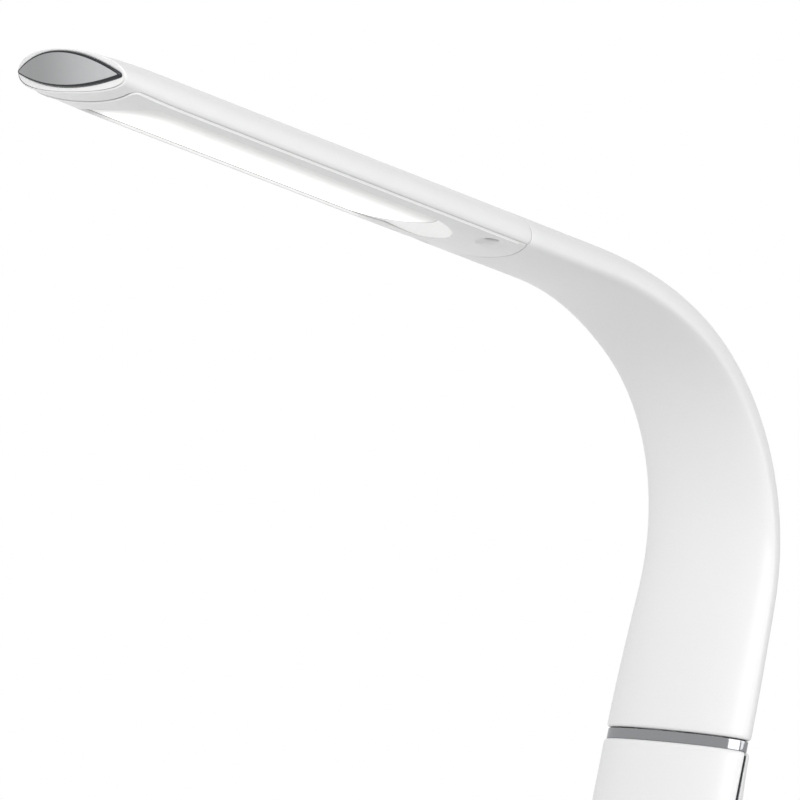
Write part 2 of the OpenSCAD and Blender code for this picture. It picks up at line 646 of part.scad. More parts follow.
module lead_clips() color("#e8e8e6") posed() for (s = clip_stations) on_line(s) difference() {
    translate([lead_x - clip_w / 2, -clip_l / 2, spine_top + fit]) cube([clip_w, clip_l, lead_d + 1.6]);
    translate([lead_x, clip_l / 2 + 0.5, lead_q]) rotate([90, 0, 0]) cylinder(h = clip_l + 1, r = lead_d / 2 + 0.12);
}

// ---- swivel ----
socket_low = -collar_h / 2 - socket_h;
washer_t = 1;
stop_t = 1.2;
spring_t = 1.2;
shoulder_r = 4.8;
washer_r = 5.4;
flange_gap = 0.05;
stop_top = socket_low - washer_t - 2 * flange_gap;
module swivel_shaft() color(steel) posed() difference() {
    union() {
        translate([0, 0, shaft_bottom]) cylinder(h = foot_low + foot_h - 3 - shaft_bottom, r = shaft_d / 2);
        translate([0, 0, collar_h / 2 + flange_gap + 0.1])
            cylinder(h = foot_low - collar_h / 2 - flange_gap - 0.1, r = shoulder_r);
    }
    translate([0, 0, shaft_bottom - 1]) cylinder(h = foot_h - shaft_bottom + 20, r = shaft_bore_d / 2);
}
module shaft_set_screws() color(steel) posed() both_sides() translate([shaft_d / 2 + fit, 0, foot_low + foot_h / 2])
    rotate([0, 90, 0]) cylinder(h = foot_w / 2 - shaft_d / 2 - 1, r = screw_r);
module swivel_stop_washer() color(steel) posed() translate([0, 0, stop_top - stop_t]) difference() {
    union() {
        cylinder(h = stop_t, r = washer_r);
        translate([-1.5, 0, 0]) cube([3, 9.5, stop_t]);
    }
    translate([0, 0, -1]) cylinder(h = 4, r = shaft_d / 2 + fit);
}
module swivel_spring_washer() color(steel) posed() translate([0, 0, stop_top - stop_t - spring_t])
    rotate_extrude() polygon([[shaft_d / 2 + 0.1, 0.5], [washer_r - 0.4, 0], [washer_r - 0.4, 0.6], [shaft_d / 2 + 0.1, spring_t]]);
module swivel_nut() color(steel) posed() translate([0, 0, stop_top - stop_t - spring_t - swivel_nut_h]) difference() {
    cylinder(h = swivel_nut_h, r = swivel_nut_w / 2 / cos(30), $fn = 6);
    translate([0, 0, -1]) cylinder(h = swivel_nut_h + 2, r = shaft_d / 2 + fit);
}
module collar_ring() color(chrome) posed() translate([0, 0, -collar_h / 2]) difference() {
    linear_extrude(collar_h) polygon([for (t = spread(0, 357, 119))
        oval(t, collar_w - 2 * collar_inset, collar_back - collar_inset, 0, collar_inset - collar_front)]);
    translate([0, 0, -1]) cylinder(h = collar_h + 2, r = bush_d / 2 + fit);
}
module swivel_bush() color("#d8d8d4") posed() translate([0, 0, socket_low])
    tube(bush_d / 2, shaft_d / 2 + run_gap, socket_h + collar_h + 0.1);
module swivel_washer() color(steel) posed() translate([0, 0, socket_low - washer_t])
    tube(washer_r, shaft_d / 2 + 0.1, washer_t);

// ---- stem ----
stem_end = -stem_l + barrel_r + 1.8;
stem_top = -collar_h / 2;
function stem_rear(z) = ease(collar_back, stem_back, (stem_top - z) / stem_swell_l);
rear_roundness = 2.6;
function stem_round(z) = let (u = max(0, end_r - (stem_top - z), end_r - (z - stem_end)))
    end_r - sqrt(max(0, end_r * end_r - u * u));
function stem_skin(z, t, depth) = let (n = sin(t) > 0 ? rear_roundness : roundness)
    [(collar_w / 2 - depth) * power(cos(t), 2 / n),
        (sin(t) > 0 ? stem_rear(z) - depth : collar_front - depth) * power(sin(t), 2 / n), z];
stem_rows = concat([for (u = [0, 0.12, 0.4, 1]) stem_end + end_r * u],
    [for (k = [0:6]) stem_top - stem_swell_l + (stem_swell_l - end_r) * k / 6],
    [for (u = [0.4, 0.12, 0]) stem_top - end_r * u]);
stem_seam = 3;
trim_t = 0.5;
trim_turn = 2.2;
module stem_sheet(angles) sheet(
    [for (z = stem_rows) [for (t = angles) stem_skin(z, t, stem_round(z))]],
    [for (z = stem_rows) [for (t = angles) stem_skin(z, t, wall)]]);
stem_post_z = [-0.41 * stem_l, -0.767 * stem_l];
module stem_posts(r, from_y, to_y) for (z = stem_post_z) translate([0, from_y, z])
    rotate([-90, 0, 0]) cylinder(h = to_y - from_y, r = r);
web_front = 0.5;
web_t = 3;
module stem_front_cover() color(white) posed() difference() {
    union() {
        stem_sheet(spread(180 + stem_seam, 360 - stem_seam, 22));
        stem_posts(boss_r, -collar_front + wall / 2, web_front - fit);
    }
    stem_posts(screw_r, -collar_front + wall + 0.2, web_front + 1);
}
module stem_rear_cover() color(white) posed() difference() {
    union() {
        stem_sheet(spread(stem_seam, 180 - stem_seam, 22));
        stem_posts(boss_r + 1, web_front + web_t + fit, stem_back - wall / 2);
    }
    stem_posts(screw_head_r + 0.3, web_front + web_t + 3, stem_back + 1);
    stem_posts(screw_r + 0.2, 0, stem_back);
}
module stem_side_trims() color(dark_chrome) posed() both_sides() sheet(
    [for (z = [stem_end + end_r, stem_top - end_r]) [for (t = spread(-stem_seam + 0.6, stem_seam - 0.6, 2))
        stem_skin(z, t, 0.25)]],
    [for (z = [stem_end + end_r, stem_top - end_r]) [for (t = spread(-stem_seam + 0.6, stem_seam - 0.6, 2))
        stem_skin(z, t, wall)]]);
stop_post_r = 7.9;
module stem_frame() color("#e6e6e3") posed() difference() {
    union() {
        translate([-12, -5, socket_low]) cube([24, 10, socket_h]);
        for (x = [-1, 1]) translate([x * stop_post_r - 1.2, -4.6, stop_top - stop_t])
            cube([2.4, 2.6, socket_low - stop_top + stop_t + 1]);
        translate([-channel_w / 2, web_front, -stem_l + hinge_bush_d / 2 + 1])
            cube([channel_w, web_t, stem_l + socket_low - hinge_bush_d / 2 - 12]);
        both_sides() translate([channel_w / 2 - 2, web_front, -stem_l + hinge_bush_d / 2 + 1])
            cube([2, 8, stem_l + socket_low - hinge_bush_d / 2 - 12]);
        both_sides() translate([10, web_front, socket_low - 14]) cube([2, 4.4, 14.5]);
        translate([-barrel_w / 2, hinge_set_back, -stem_l]) rotate([0, 90, 0]) cylinder(h = barrel_w, r = barrel_r);
    }
    translate([0, 0, socket_low - 1]) cylinder(h = socket_h + 2, r = bush_d / 2 + fit);
    translate([-barrel_w / 2 - 1, hinge_set_back, -stem_l]) rotate([0, 90, 0])
        cylinder(h = barrel_w + 2, r = hinge_bush_d / 2 + fit);
    stem_posts(screw_r + 0.2, 0, 8);
    translate([-lead_d, 0, socket_low - 17]) cube([2 * lead_d, 4 * web_t, 7]);
}
module stem_screws() color(steel) posed() for (z = stem_post_z) translate([0, web_front + web_t + 3 + fit, z])
    rotate([-90, 0, 0]) screw(web_t + 3 + 5, screw_r - fit);
stem_lead_y = web_front + web_t + lead_d / 2 + 0.2;
stem_lead_x = 6;
stem_lead_top = 48;
stem_lead_mid = 80;
stem_lead_tail = 20;
module stem_lead() color("#303133") posed() translate([stem_lead_x, 0, 0])
    lead([for (z = [-stem_lead_top, -stem_lead_mid, stem_lead_tail - stem_l]) [0, stem_lead_y, z]], lead_d / 2);
module hinge_bushes() color("#d8d8d4") posed() both_sides() translate([0.2, hinge_set_back, -stem_l])
    rotate([0, 90, 0]) tube(hinge_bush_d / 2, axle_d / 2 + run_gap, barrel_w / 2 - 0.2);

// ---- hinge in the base ----
ballast_low = pad_t + bottom_t;
ballast_top = ballast_low + ballast_t;
friction_gap = 0.04;
upright_x = barrel_w / 2 + 2 * friction_gap + friction_t;
upright_out = upright_x + upright_t;
plate_h = 2;
axle_head_t = 3;
disc_t = 0.8;
disc_count = 3;
flat_t = 1;
hinge_nut_t = 4;
stack_out = upright_out + flat_t + disc_count * disc_t + 4 * fit;
module across(x) translate([x, hinge_y, hinge_z]) rotate([0, 90, 0]) children();
upright_r = 10;
module hinge_bracket() color(steel) difference() {
    union() {
        translate([-upright_out, hinge_y - upright_r - 6, ballast_top])
            cube([2 * upright_out, 2 * upright_r + 10, plate_h]);
        both_sides() {
            translate([upright_x, hinge_y - upright_r, ballast_top])
                cube([upright_t, 2 * upright_r, hinge_z - ballast_top]);
            across(upright_x) cylinder(h = upright_t, r = upright_r);
        }
    }
    across(-upright_out - 1) cylinder(h = 2 * upright_out + 2, r = axle_d / 2 + fit);
    bracket_screw_places() translate([0, 0, ballast_top - 1]) cylinder(h = plate_h + 2, r = 2.1);
}
module bracket_screw_places() for (x = [-10, 10]) for (y = [-12, 10]) translate([x, hinge_y + y, 0]) children();
module hinge_axle() color(steel) union() {
    across(-upright_out - 1) cylinder(h = stack_out + hinge_nut_t + upright_out + 1.2, r = axle_d / 2);
    across(-upright_out - axle_head_t - fit) cylinder(h = axle_head_t, r = axle_d / 2 + 3);
}
module hinge_friction_washers() color("#8a6f3c") both_sides() across(barrel_w / 2 + friction_gap)
    tube(barrel_r - 2, axle_d / 2 + 0.1, friction_t);
module hinge_flat_washer() color(steel) across(upright_out + fit) tube(axle_d / 2 + 4, axle_d / 2 + fit, flat_t);
module hinge_disc_springs() color(steel) for (k = [0:disc_count - 1])
    across(upright_out + flat_t + 2 * fit + k * (disc_t + fit / 4) + (k % 2 == 0 ? 0 : disc_t))
        mirror([0, 0, k % 2]) rotate_extrude() polygon([[axle_d / 2 + 0.1, 0.3], [axle_d / 2 + 3.6, 0],
            [axle_d / 2 + 3.6, 0.5], [axle_d / 2 + 0.1, disc_t]]);
module hinge_nut() color(steel) across(stack_out) difference() {
    cylinder(h = hinge_nut_t, r = axle_d / 2 + 3, $fn = 6);
    translate([0, 0, -1]) cylinder(h = hinge_nut_t + 2, r = axle_d / 2 + fit);
}
ear_in = upright_x - 0.1;
ear_out = collar_w / 2;
ear_r = barrel_r + 0.3;
ear_wall = 1.4;
cap_r = 9;
cap_stub_r = 3;
module hinge_end_caps() color(chrome) both_sides() {
    across(ear_out + fit) cylinder(h = 1, r = cap_r);
    across(ear_out + 1) cylinder(h = 0.5, r1 = cap_r, r2 = cap_r - 0.6);
    across(ear_out - ear_wall) cylinder(h = ear_wall + 0.5, r = cap_stub_r - fit);
}

// ---- base casing ----
plan_points = 64;
base_roundness = 2.4;
function plan(inset, z) = [for (k = [0:plan_points - 1]) let (t = 360 * k / plan_points)
    [(base_w / 2 - inset) * power(cos(t), 2 / base_roundness),
        (base_l / 2 - inset) * power(sin(t), 2 / base_roundness), z]];
function flat(points) = [for (p = points) [p[0], p[1]]];
module plan_slab(inset, low, high) translate([0, 0, low]) linear_extrude(high - low) polygon(flat(plan(inset, 0)));
flat_share = 0.7;           // share of the plan that is flat on top
function dome(inset, low) = concat([plan(inset, low)],
    [for (a = [0, 12, 26, 42, 60, 76, 90])
        let (k = flat_share + (1 - flat_share) * cos(a))
        [for (p = plan(inset, 0)) [p[0] * k, p[1] * k, base_edge_h - inset + (base_h - base_edge_h) * sin(a)]]]);
trim_low = pad_t + bottom_t;
trim_top = trim_low + trim_h;
boss_plan = 8.5;
function screw_ring(k) = let (t = 60 * k) [
    (base_w / 2 - boss_plan) * power(cos(t), 2 / base_roundness),
    (base_l / 2 - boss_plan) * power(sin(t), 2 / base_roundness)];
module base_screw_places() for (k = [0:5]) translate(screw_ring(k)) children();
base_boss_r = 3;
base_boss_top = base_edge_h + 2;
surround_t = 0.6;
button_gap = 0.3;
module button_places() for (k = [-1:1]) translate([k * button_pitch, -button_y, 0]) children();
module ear(r, x_in, x_out, low) {
    across(x_in) cylinder(h = x_out - x_in, r = r);
    translate([x_in, hinge_y - r, low]) cube([x_out - x_in, 2 * r, hinge_z - low]);
}
board_low = ballast_top + 1.5;
board_t = 1.6;
board_top = board_low + board_t;
pipe_r = 1.1;
pipe_y = button_y + surround_l / 2 + 5;
inlet_w = 9;
inlet_h = 3.2;
inlet_l = 7.6;
inlet_z = base_edge_h + 0.8;
inlet_y = base_l / 2 - wall - 0.2;
module slot(w, h, l) translate([0, 0, 0]) rotate([90, 0, 0]) linear_extrude(l, center = true) {
    square([w - h, h], center = true);
    for (x = [-1, 1]) translate([x * (w - h) / 2, 0]) circle(d = h);
}
module base_top_cover() color(white) difference() {
    union() {
        difference() {
            loft(dome(0, trim_top));
            loft(dome(wall, trim_top - 1));
        }
        intersection() {
            base_screw_places() translate([0, 0, trim_low]) cylinder(h = base_h, r = base_boss_r);
            loft(dome(wall / 2, trim_low - 1));
        }
        both_sides() ear(ear_r, ear_in, ear_out, base_h - wall);
    }
    both_sides() {
        ear(ear_r - ear_wall, ear_in - 1, ear_out - ear_wall, base_h - wall - 8);
        across(ear_out - ear_wall - 1) cylinder(h = ear_wall + 2, r = cap_stub_r);
    }
    base_screw_places() translate([0, 0, trim_low - 1]) cylinder(h = base_boss_top - trim_low, r = screw_r);
    translate([-surround_w / 2, -button_y - surround_l / 2, base_h - surround_t]) linear_extrude(2)
        rounded(surround_w, surround_l, 3, 0);
    button_places() translate([0, 0, base_h - 5]) cylinder(h = 10, r = button_d / 2 + button_gap);
    translate([0, -pipe_y, base_h - 5]) cylinder(h = 10, r = pipe_r + 0.1);
    translate([0, base_l / 2, inlet_z]) slot(inlet_w + 0.6, inlet_h + 0.6, 12);
}
module rounded(w, l, r, inset) translate([inset, inset]) union() {
    translate([r, 0]) square([w - 2 * inset - 2 * r, l - 2 * inset]);
    translate([0, r]) square([w - 2 * inset, l - 2 * inset - 2 * r]);
    for (x = [r, w - 2 * inset - r]) for (y = [r, l - 2 * inset - r]) translate([x, y]) circle(r = r);
}
module base_trim_ring() color(chrome) difference() {
    plan_slab(-trim_out, trim_low + fit, trim_top - fit);
    plan_slab(wall + 0.4, trim_low - 1, trim_top + 1);
}
module base_bottom_cover() color("#dcdcda") difference() {
    plan_slab(0.6, pad_t, ballast_low);
    base_screw_places() {
        translate([0, 0, pad_t - 1]) cylinder(h = 4, r = screw_r + 0.2);
        translate([0, 0, pad_t - 1]) cylinder(h = 1.1, r = 2.6);
        translate([0, 0, pad_t + 0.1]) cylinder(h = 1.3, r1 = 2.6, r2 = screw_r + 0.2);
    }
}
module ballast_plate() color("#6f7276") difference() {
    plan_slab(ballast_inset, ballast_low, ballast_top);
    translate([-12, base_l / 2 - 26, 0]) cube([24, 30, 20]);
    bracket_screw_places() translate([0, 0, ballast_low]) cylinder(h = ballast_t + 1, r = 1.9);
    board_screw_places() translate([0, 0, ballast_low]) cylinder(h = ballast_t + 1, r = screw_r);
}
module base_pad() color("#3a3a3c") plan_slab(2.5, 0, pad_t - fit);
module base_screws() color(steel) base_screw_places() translate([0, 0, pad_t + 0.1]) {
    cylinder(h = 1.3, r1 = 2.5, r2 = screw_r - fit);
    cylinder(h = base_boss_top - trim_low - 1, r = screw_r - fit);
}
module bracket_screws() color(steel) bracket_screw_places() translate([0, 0, ballast_top + plate_h + fit])
    screw(plate_h + ballast_t - 0.6, 1.9 - fit, 3.4, 2);

// ---- electronics ----
board_w = 78;
board_depth = 32;
module board_screw_places() for (x = [-1, 1]) for (y = [-1, 1])
    translate([x * (board_w / 2 - 4), -button_y + y * (board_depth / 2 - 4), 0]) children();
module board_spacers() color("#caa64b") board_screw_places() translate([0, 0, ballast_top])
    tube(2.6, screw_r + 0.1, board_low - ballast_top);
module control_board() color("#2f6b45") difference() {
    translate([-board_w / 2, -button_y - board_depth / 2, board_low]) cube([board_w, board_depth, board_t]);
    board_screw_places() translate([0, 0, board_low - 1]) cylinder(h = board_t + 2, r = screw_r + 0.2);
}
switch_w = 6;
switch_h = 1.8;
plunger_r = 1.7;
plunger_h = 0.5;
module tact_switches() color("#2b2b2d") button_places() translate([0, 0, board_top]) {
    translate([-switch_w / 2, -switch_w / 2, 0]) cube([switch_w, switch_w, switch_h]);
    cylinder(h = switch_h + plunger_h, r = plunger_r);
}
parts_back = 13;
coil_x = 30;
coil_r = 3;
coil_h = 2.6;
diode_x = 14;
diode_w = 5;
diode_l = 4;
diode_h = 1.5;
driver_x = 9;
driver_w = 6;
driver_l = 5;
driver_h = 1.8;
capacitor_x = 26;
capacitor_w = 7;
capacitor_l = 6;
capacitor_h = 2.4;
signal_w = 2;
signal_h = 0.8;
module driver_components() color("#3b3d40") {
    translate([-coil_x, -button_y - parts_back + 2 * coil_r / 3, board_top]) cylinder(h = coil_h, r = coil_r);
    translate([-diode_x, -button_y - parts_back, board_top]) cube([diode_w, diode_l, diode_h]);
    translate([driver_x, -button_y - parts_back, board_top]) cube([driver_w, driver_l, driver_h]);
    translate([capacitor_x, -button_y - parts_back, board_top]) cube([capacitor_w, capacitor_l, capacitor_h]);
    translate([-signal_w / 2, -pipe_y - signal_w / 2, board_top]) cube([signal_w, signal_w, signal_h]);
}
module power_inlet() color("#b4b7bb") translate([0, inlet_y - inlet_l / 2, inlet_z]) {
    difference() {
        slot(inlet_w, inlet_h, inlet_l);
        translate([0, 0.8, 0]) slot(inlet_w - 0.7, inlet_h - 0.7, inlet_l);
        }
    translate([-3.3, -inlet_l / 2 + 0.4, -0.35]) cube([6.6, inlet_l - 2, 0.7]);
    translate([-6, -inlet_l / 2 - 2, -inlet_z + ballast_low]) cube([12, inlet_l, inlet_z - ballast_low - inlet_h / 2 + 0.05]);
}
module button_surround() color("#8f9296") difference() {
    translate([-surround_w / 2, -button_y - surround_l / 2, base_h - surround_t + fit])
        linear_extrude(surround_t + 0.2) rounded(surround_w, surround_l, 3, 0.1);
    button_places() translate([0, 0, base_h - 5]) cylinder(h = 10, r = button_d / 2 + button_gap);
}
module indicator_light_pipe() color("#dff3ff") translate([0, -pipe_y, board_top + signal_h + fit])
    cylinder(h = base_h + 0.1 - board_top - signal_h - fit, r = pipe_r);
module base_lead() color("#303133") translate([12, 0, 0]) lead([for (p = [[-button_y + board_depth / 2 - 4, board_top + lead_d / 2],
    [-button_y + board_depth / 2 + 4, board_top + lead_d / 2], [-button_y + board_depth / 2 + 14, ballast_top + lead_d / 2 + 0.1],
    [hinge_y - 20, ballast_top + lead_d / 2 + 0.1]]) [0, p[0], p[1]]], lead_d / 2);

// ---- buttons ----
flange_top = base_h - wall - 0.15;
module push_button(k) color("#f0f0ee") translate([k * button_pitch, -button_y, 0]) {
    translate([0, 0, flange_top - 0.7]) cylinder(h = base_h + button_out - 0.5 - flange_top + 0.7, r = button_d / 2);
    translate([0, 0, base_h + button_out - 0.5]) cylinder(h = 0.5, r1 = button_d / 2, r2 = button_d / 2 - 0.5);
    translate([0, 0, flange_top - 0.7]) cylinder(h = 0.7, r = button_d / 2 + 1.4);
    translate([0, 0, board_top + switch_h + plunger_h + button_travel + 0.05])
        cylinder(h = flange_top - board_top - switch_h - plunger_h - button_travel, r = 1.5);
}
module power_button() push_button(0);
module brighter_button() push_button(1);
module dimmer_button() push_button(-1);

head_upper_shell();
head_lower_cover();
diffuser_lens();
led_board();
led_chips();
heat_spreader();
spreader_screws();
cover_screws();
tip_bezel();
tip_plate();
arm_front_shell();
arm_back_cover();
arm_spine();
arm_screws();
head_joint_screws();
arm_lead();
lead_clips();
swivel_shaft();
shaft_set_screws();
swivel_stop_washer();
swivel_spring_washer();
swivel_nut();
collar_ring();
swivel_bush();
swivel_washer();
stem_frame();
stem_front_cover();
stem_rear_cover();
stem_side_trims();
stem_screws();
stem_lead();
hinge_bushes();
hinge_bracket();
hinge_axle();
hinge_friction_washers();
hinge_flat_washer();
hinge_disc_springs();
hinge_nut();
hinge_end_caps();
base_top_cover();
base_trim_ring();
base_bottom_cover();
ballast_plate();
base_pad();
base_screws();
bracket_screws();
board_spacers();
control_board();
tact_switches();
driver_components();
power_inlet();
button_surround();
indicator_light_pipe();
base_lead();
power_button();
brighter_button();
dimmer_button();
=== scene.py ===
# %% [markdown]
# # A folding desk lamp
# The lamp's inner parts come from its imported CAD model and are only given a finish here. The
# casings that the eye follows are built again as fine smooth surfaces. Each casing is drawn by
# the same rule as the real one: an oval cross-section that slides along one centre line.

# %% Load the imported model
import json
import math

import bpy
import bmesh
import numpy as np
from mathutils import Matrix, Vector
from mathutils.geometry import delaunay_2d_cdt


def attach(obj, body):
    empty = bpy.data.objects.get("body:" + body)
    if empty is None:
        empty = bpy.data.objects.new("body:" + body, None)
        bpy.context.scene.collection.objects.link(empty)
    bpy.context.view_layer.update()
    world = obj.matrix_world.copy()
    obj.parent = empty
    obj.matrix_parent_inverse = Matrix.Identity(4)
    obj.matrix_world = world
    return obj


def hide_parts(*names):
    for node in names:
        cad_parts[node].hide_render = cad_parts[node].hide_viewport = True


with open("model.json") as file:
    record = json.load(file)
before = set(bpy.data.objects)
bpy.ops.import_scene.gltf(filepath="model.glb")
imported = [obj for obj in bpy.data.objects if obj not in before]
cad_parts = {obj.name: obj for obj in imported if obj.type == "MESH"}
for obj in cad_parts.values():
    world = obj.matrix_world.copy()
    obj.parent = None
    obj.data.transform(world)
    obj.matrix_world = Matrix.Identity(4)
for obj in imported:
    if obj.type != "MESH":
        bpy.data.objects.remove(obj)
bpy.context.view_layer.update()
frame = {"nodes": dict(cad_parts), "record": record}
nodes = frame["nodes"]

# %% [markdown]
# Sizes are in millimetres, as on a drawing, and become metres when a mesh is made. Lengths along
# the arm and head are measured on the centre line from the middle of the chrome collar.

# %% Sizes of the stem, arm and head
MM = 0.001
lean = math.radians(16.6)       # backward lean of the stem
hinge_y, hinge_z = 50.0, 31.5   # fold axle in the base
hinge_set_back = 4.3
stem_l = 146.0                  # collar to axle
wall = 1.6
seam_gap = 0.2
collar_w, collar_back, collar_front = 60.0, 7.6, 7.4
collar_h, collar_inset = 3.4, 0.7
collar_gap = 0.4
end_r = 1.2                     # rounding of the casings at the collar
arm_rise, bend_low_r, bend_high_r = 47.0, 79.0, 120.0
low_turn = math.radians(63.0)
arm_reach = 38.5
arm_w, arm_back, arm_front = 49.4, 12.1, 3.2
head_w, head_l, head_top, head_belly = 46.0, 187.0, 9.5, 5.0
roundness = 2.18
s_low = arm_rise
s_mid = s_low + bend_low_r * low_turn
s_high = s_mid + bend_high_r * (math.pi / 2 - low_turn)
s_joint = s_high + arm_reach
s_tip = s_joint + head_l
print("centre line: %.1f mm to the head joint, %.1f mm to the tip" % (s_joint, s_tip))

# %% [markdown]
# The tip, the nose under it and the long light opening have sizes of their own.

# %% Sizes of the tip and of the belly cover
nose_l = 34.0                   # the section changes over this length
tip_half_w, tip_rise, tip_drop, tip_mid = 22.7, 5.7, 4.4, 1.5
tip_corner = 0.7                # rounding of the almond's two ends
tip_r = 88.0
tip_rake = math.radians(23.5)
rim_top, rim_low = 0.7, 1.5
seam_turn = 19.5                # degrees under the side edge
belly_bow = 5.5
nose_side_l, nose_bow, belly_corner = 9.0, 2.0, 3.0
lens_l, lens_w, lens_taper_l, lens_ramp_l = 148.0, 34.4, 25.0, 10.0
lens_back, lens_edge, lens_low = 17.0, 2.4, -0.4
well_s, well_x = s_joint + 10.0, 15.6
head_half = head_w / 2
edge_x = head_half * math.cos(math.radians(seam_turn)) ** (2 / roundness)
print("belly seam at %.1f mm from the middle" % edge_x)

# %% [markdown]
# The centre line runs straight up from the collar, turns through two arcs to 90 degrees and
# goes straight on to the tip. `turn` gives its direction and `centre` its place.

# %% Centre line
def turn(s):
    """The direction at s, as an angle from straight up."""
    s = np.asarray(s, float)
    low = (s - s_low) / bend_low_r
    high = low_turn + (s - s_mid) / bend_high_r
    return np.where(s < s_low, 0.0, np.where(s < s_mid, low, np.minimum(high, math.pi / 2)))

def centre(s):
    """The place at s, as y and z."""
    s = np.asarray(s, float)
    a = turn(s)
    high_y = -bend_low_r + (bend_low_r - bend_high_r) * math.cos(low_turn)
    high_z = arm_rise + (bend_low_r - bend_high_r) * math.sin(low_turn)
    y = np.where(s < s_low, 0.0, np.where(s < s_mid, bend_low_r * (np.cos(a) - 1),
        np.where(s < s_high, high_y + bend_high_r * np.cos(a), high_y + s_high - s)))
    z = np.where(s < s_low, s, np.where(s < s_mid, arm_rise + bend_low_r * np.sin(a),
        high_z + bend_high_r * np.sin(a)))
    return y, z

def at_line(x, q, s):
    """The point x to the side of the centre line and q outside it."""
    x, q, s = np.broadcast_arrays(np.asarray(x, float), q, s)
    y, z = centre(s)
    a = turn(s)
    return np.stack([x, y + q * np.cos(a), z + q * np.sin(a)], -1)
print("tip of the centre line at y, z:", [round(float(v), 1) for v in centre(s_tip)])

# %% [markdown]
# The cross-section is an oval with slightly squarer shoulders, which mathematicians call a
# superellipse. Its width and depth change slowly along the centre line. A given angle always
# follows the same long edge, so a grid of places and angles can be laid straight on the skin.

# %% Cross-section
def ease(a, b, u):
    """From a to b with a soft start and end, as u goes from 0 to 1."""
    k = np.clip(u, 0, 1)
    return a + (b - a) * (3 - 2 * k) * k * k

def along(at_collar, in_bend, at_head, s):
    """A size that has one value at the collar, one in the bend and one at the head."""
    return np.where(s < s_mid, ease(at_collar, in_bend, s / s_mid),
                    ease(in_bend, at_head, (s - s_mid) / (s_high - s_mid)))

def section(s):
    """Width, top, side edge and bottom of the oval at s."""
    s = np.minimum(np.asarray(s, float), s_tip)
    u = np.maximum(0, (s - (s_tip - nose_l)) / nose_l)
    top_change = tip_mid + tip_rise + rim_top - head_top
    low_change = tip_mid - tip_drop - rim_low + head_belly
    top = along(collar_back, arm_back, head_top, s) + top_change * u ** 3
    low = -along(collar_front, arm_front, head_belly, s) + low_change * u ** 2
    return along(collar_w, arm_w, head_w, s), top, tip_mid * u ** 2, low

def signed_power(v, p):
    return np.sign(v) * np.abs(v) ** p

def oval(s, t, depth=0.0):
    """Offsets of the skin at the angle t in degrees, sunk by depth."""
    w, top, mid, low = section(s)
    c, d = np.cos(np.radians(t)), np.sin(np.radians(t))
    reach = np.where(d > 0, top - depth - mid, mid - low - depth)
    x = (w / 2 - depth) * signed_power(c, 2 / roundness)
    return x, mid + reach * signed_power(d, 2 / roundness)
print("oval at the head joint (width, top, edge, bottom):", [round(float(v), 1) for v in section(s_joint)])

# %% [markdown]
# The whole lamp is drawn upright, with the collar at the origin. Only at the end is each point
# leaned back and moved to its place over the base, so no rule has to know about the lean.

# %% Places on the skin and in the lamp
def skin(s, t, depth=0.0):
    s, t, depth = np.broadcast_arrays(np.asarray(s, float), t, depth)
    x, q = oval(s, t, depth)
    return at_line(x, q, s)

def to_row(p):
    """From the lamp's own axes, in millimetres, to the row frame in metres."""
    y, z = p[..., 1] - hinge_set_back, p[..., 2] + stem_l
    c, d = math.cos(lean), math.sin(lean)
    return np.stack([p[..., 0], y * c + z * d + hinge_y, z * c - y * d + hinge_z], -1) * MM
print("collar at", np.round(to_row(np.zeros(3)), 4), "m")

# %% [markdown]
# A smooth casing is a set of point grids sewn together: an outer skin, an inner skin and the
# edges between them. Points that meet are merged, and all faces are turned outwards at the end.
# The number of open edges is printed for each piece, because it shows where grids don't meet.

# %% Grids of points to one mesh
WELD = 2e-6                     # metres
def mesh_object(name, grids, triangles=(), sharp=35.0, second=()):
    """One mesh of all grids; the grids numbered in second take the second material."""
    points, faces, start = [], [], 0
    for g in grids:
        rows, cols = g.shape[:2]
        k = start + np.arange(rows - 1)[:, None] * cols + np.arange(cols - 1)
        faces.append(np.stack([k, k + 1, k + cols + 1, k + cols], -1).reshape(-1, 4))
        points.append(g.reshape(-1, 3))
        start += rows * cols
    for p, f in triangles:
        points.append(p)
        faces.append(np.asarray(f) + start)
        start += len(p)
    mesh = bpy.data.meshes.new(name)
    mesh.from_pydata(np.concatenate(points).tolist(), [], [f.tolist() for block in faces for f in block])
    slots = np.concatenate([np.full(len(block), int(k in second)) for k, block in enumerate(faces)])
    mesh.polygons.foreach_set("material_index", slots.astype(np.int32))
    bm = bmesh.new()
    bm.from_mesh(mesh)
    bmesh.ops.remove_doubles(bm, verts=bm.verts, dist=WELD)
    bmesh.ops.dissolve_degenerate(bm, edges=bm.edges, dist=WELD / 2)
    bmesh.ops.recalc_face_normals(bm, faces=bm.faces)
    open_edges = sum(1 for e in bm.edges if len(e.link_faces) != 2)
    for f in bm.faces:
        f.smooth = True
    bm.to_mesh(mesh)
    bm.free()
    mesh.set_sharp_from_angle(angle=math.radians(sharp))
    obj = bpy.data.objects.new(name, mesh)
    bpy.context.scene.collection.objects.link(obj)
    print("%-22s %6d faces, %d open edges" % (name, len(mesh.polygons), open_edges))
    return obj

# %% [markdown]
# Every moulded edge has a small rounding, and it is what catches the light. So the lines of a
# grid crowd together at an edge and sink over a quarter circle there. A Bevel modifier could do
# it too, but not with a radius that changes along the edge.

# %% Lines with rounded ends
edge_steps = 4
quarter_round = np.linspace(0, math.pi / 2, edge_steps + 1)
def edge_lines(at, inward, r):
    """Lines beside an edge, each with the depth of a quarter round of radius r."""
    return np.stack([at + inward * r * (1 - np.cos(quarter_round)), r * (1 - np.sin(quarter_round))], -1)

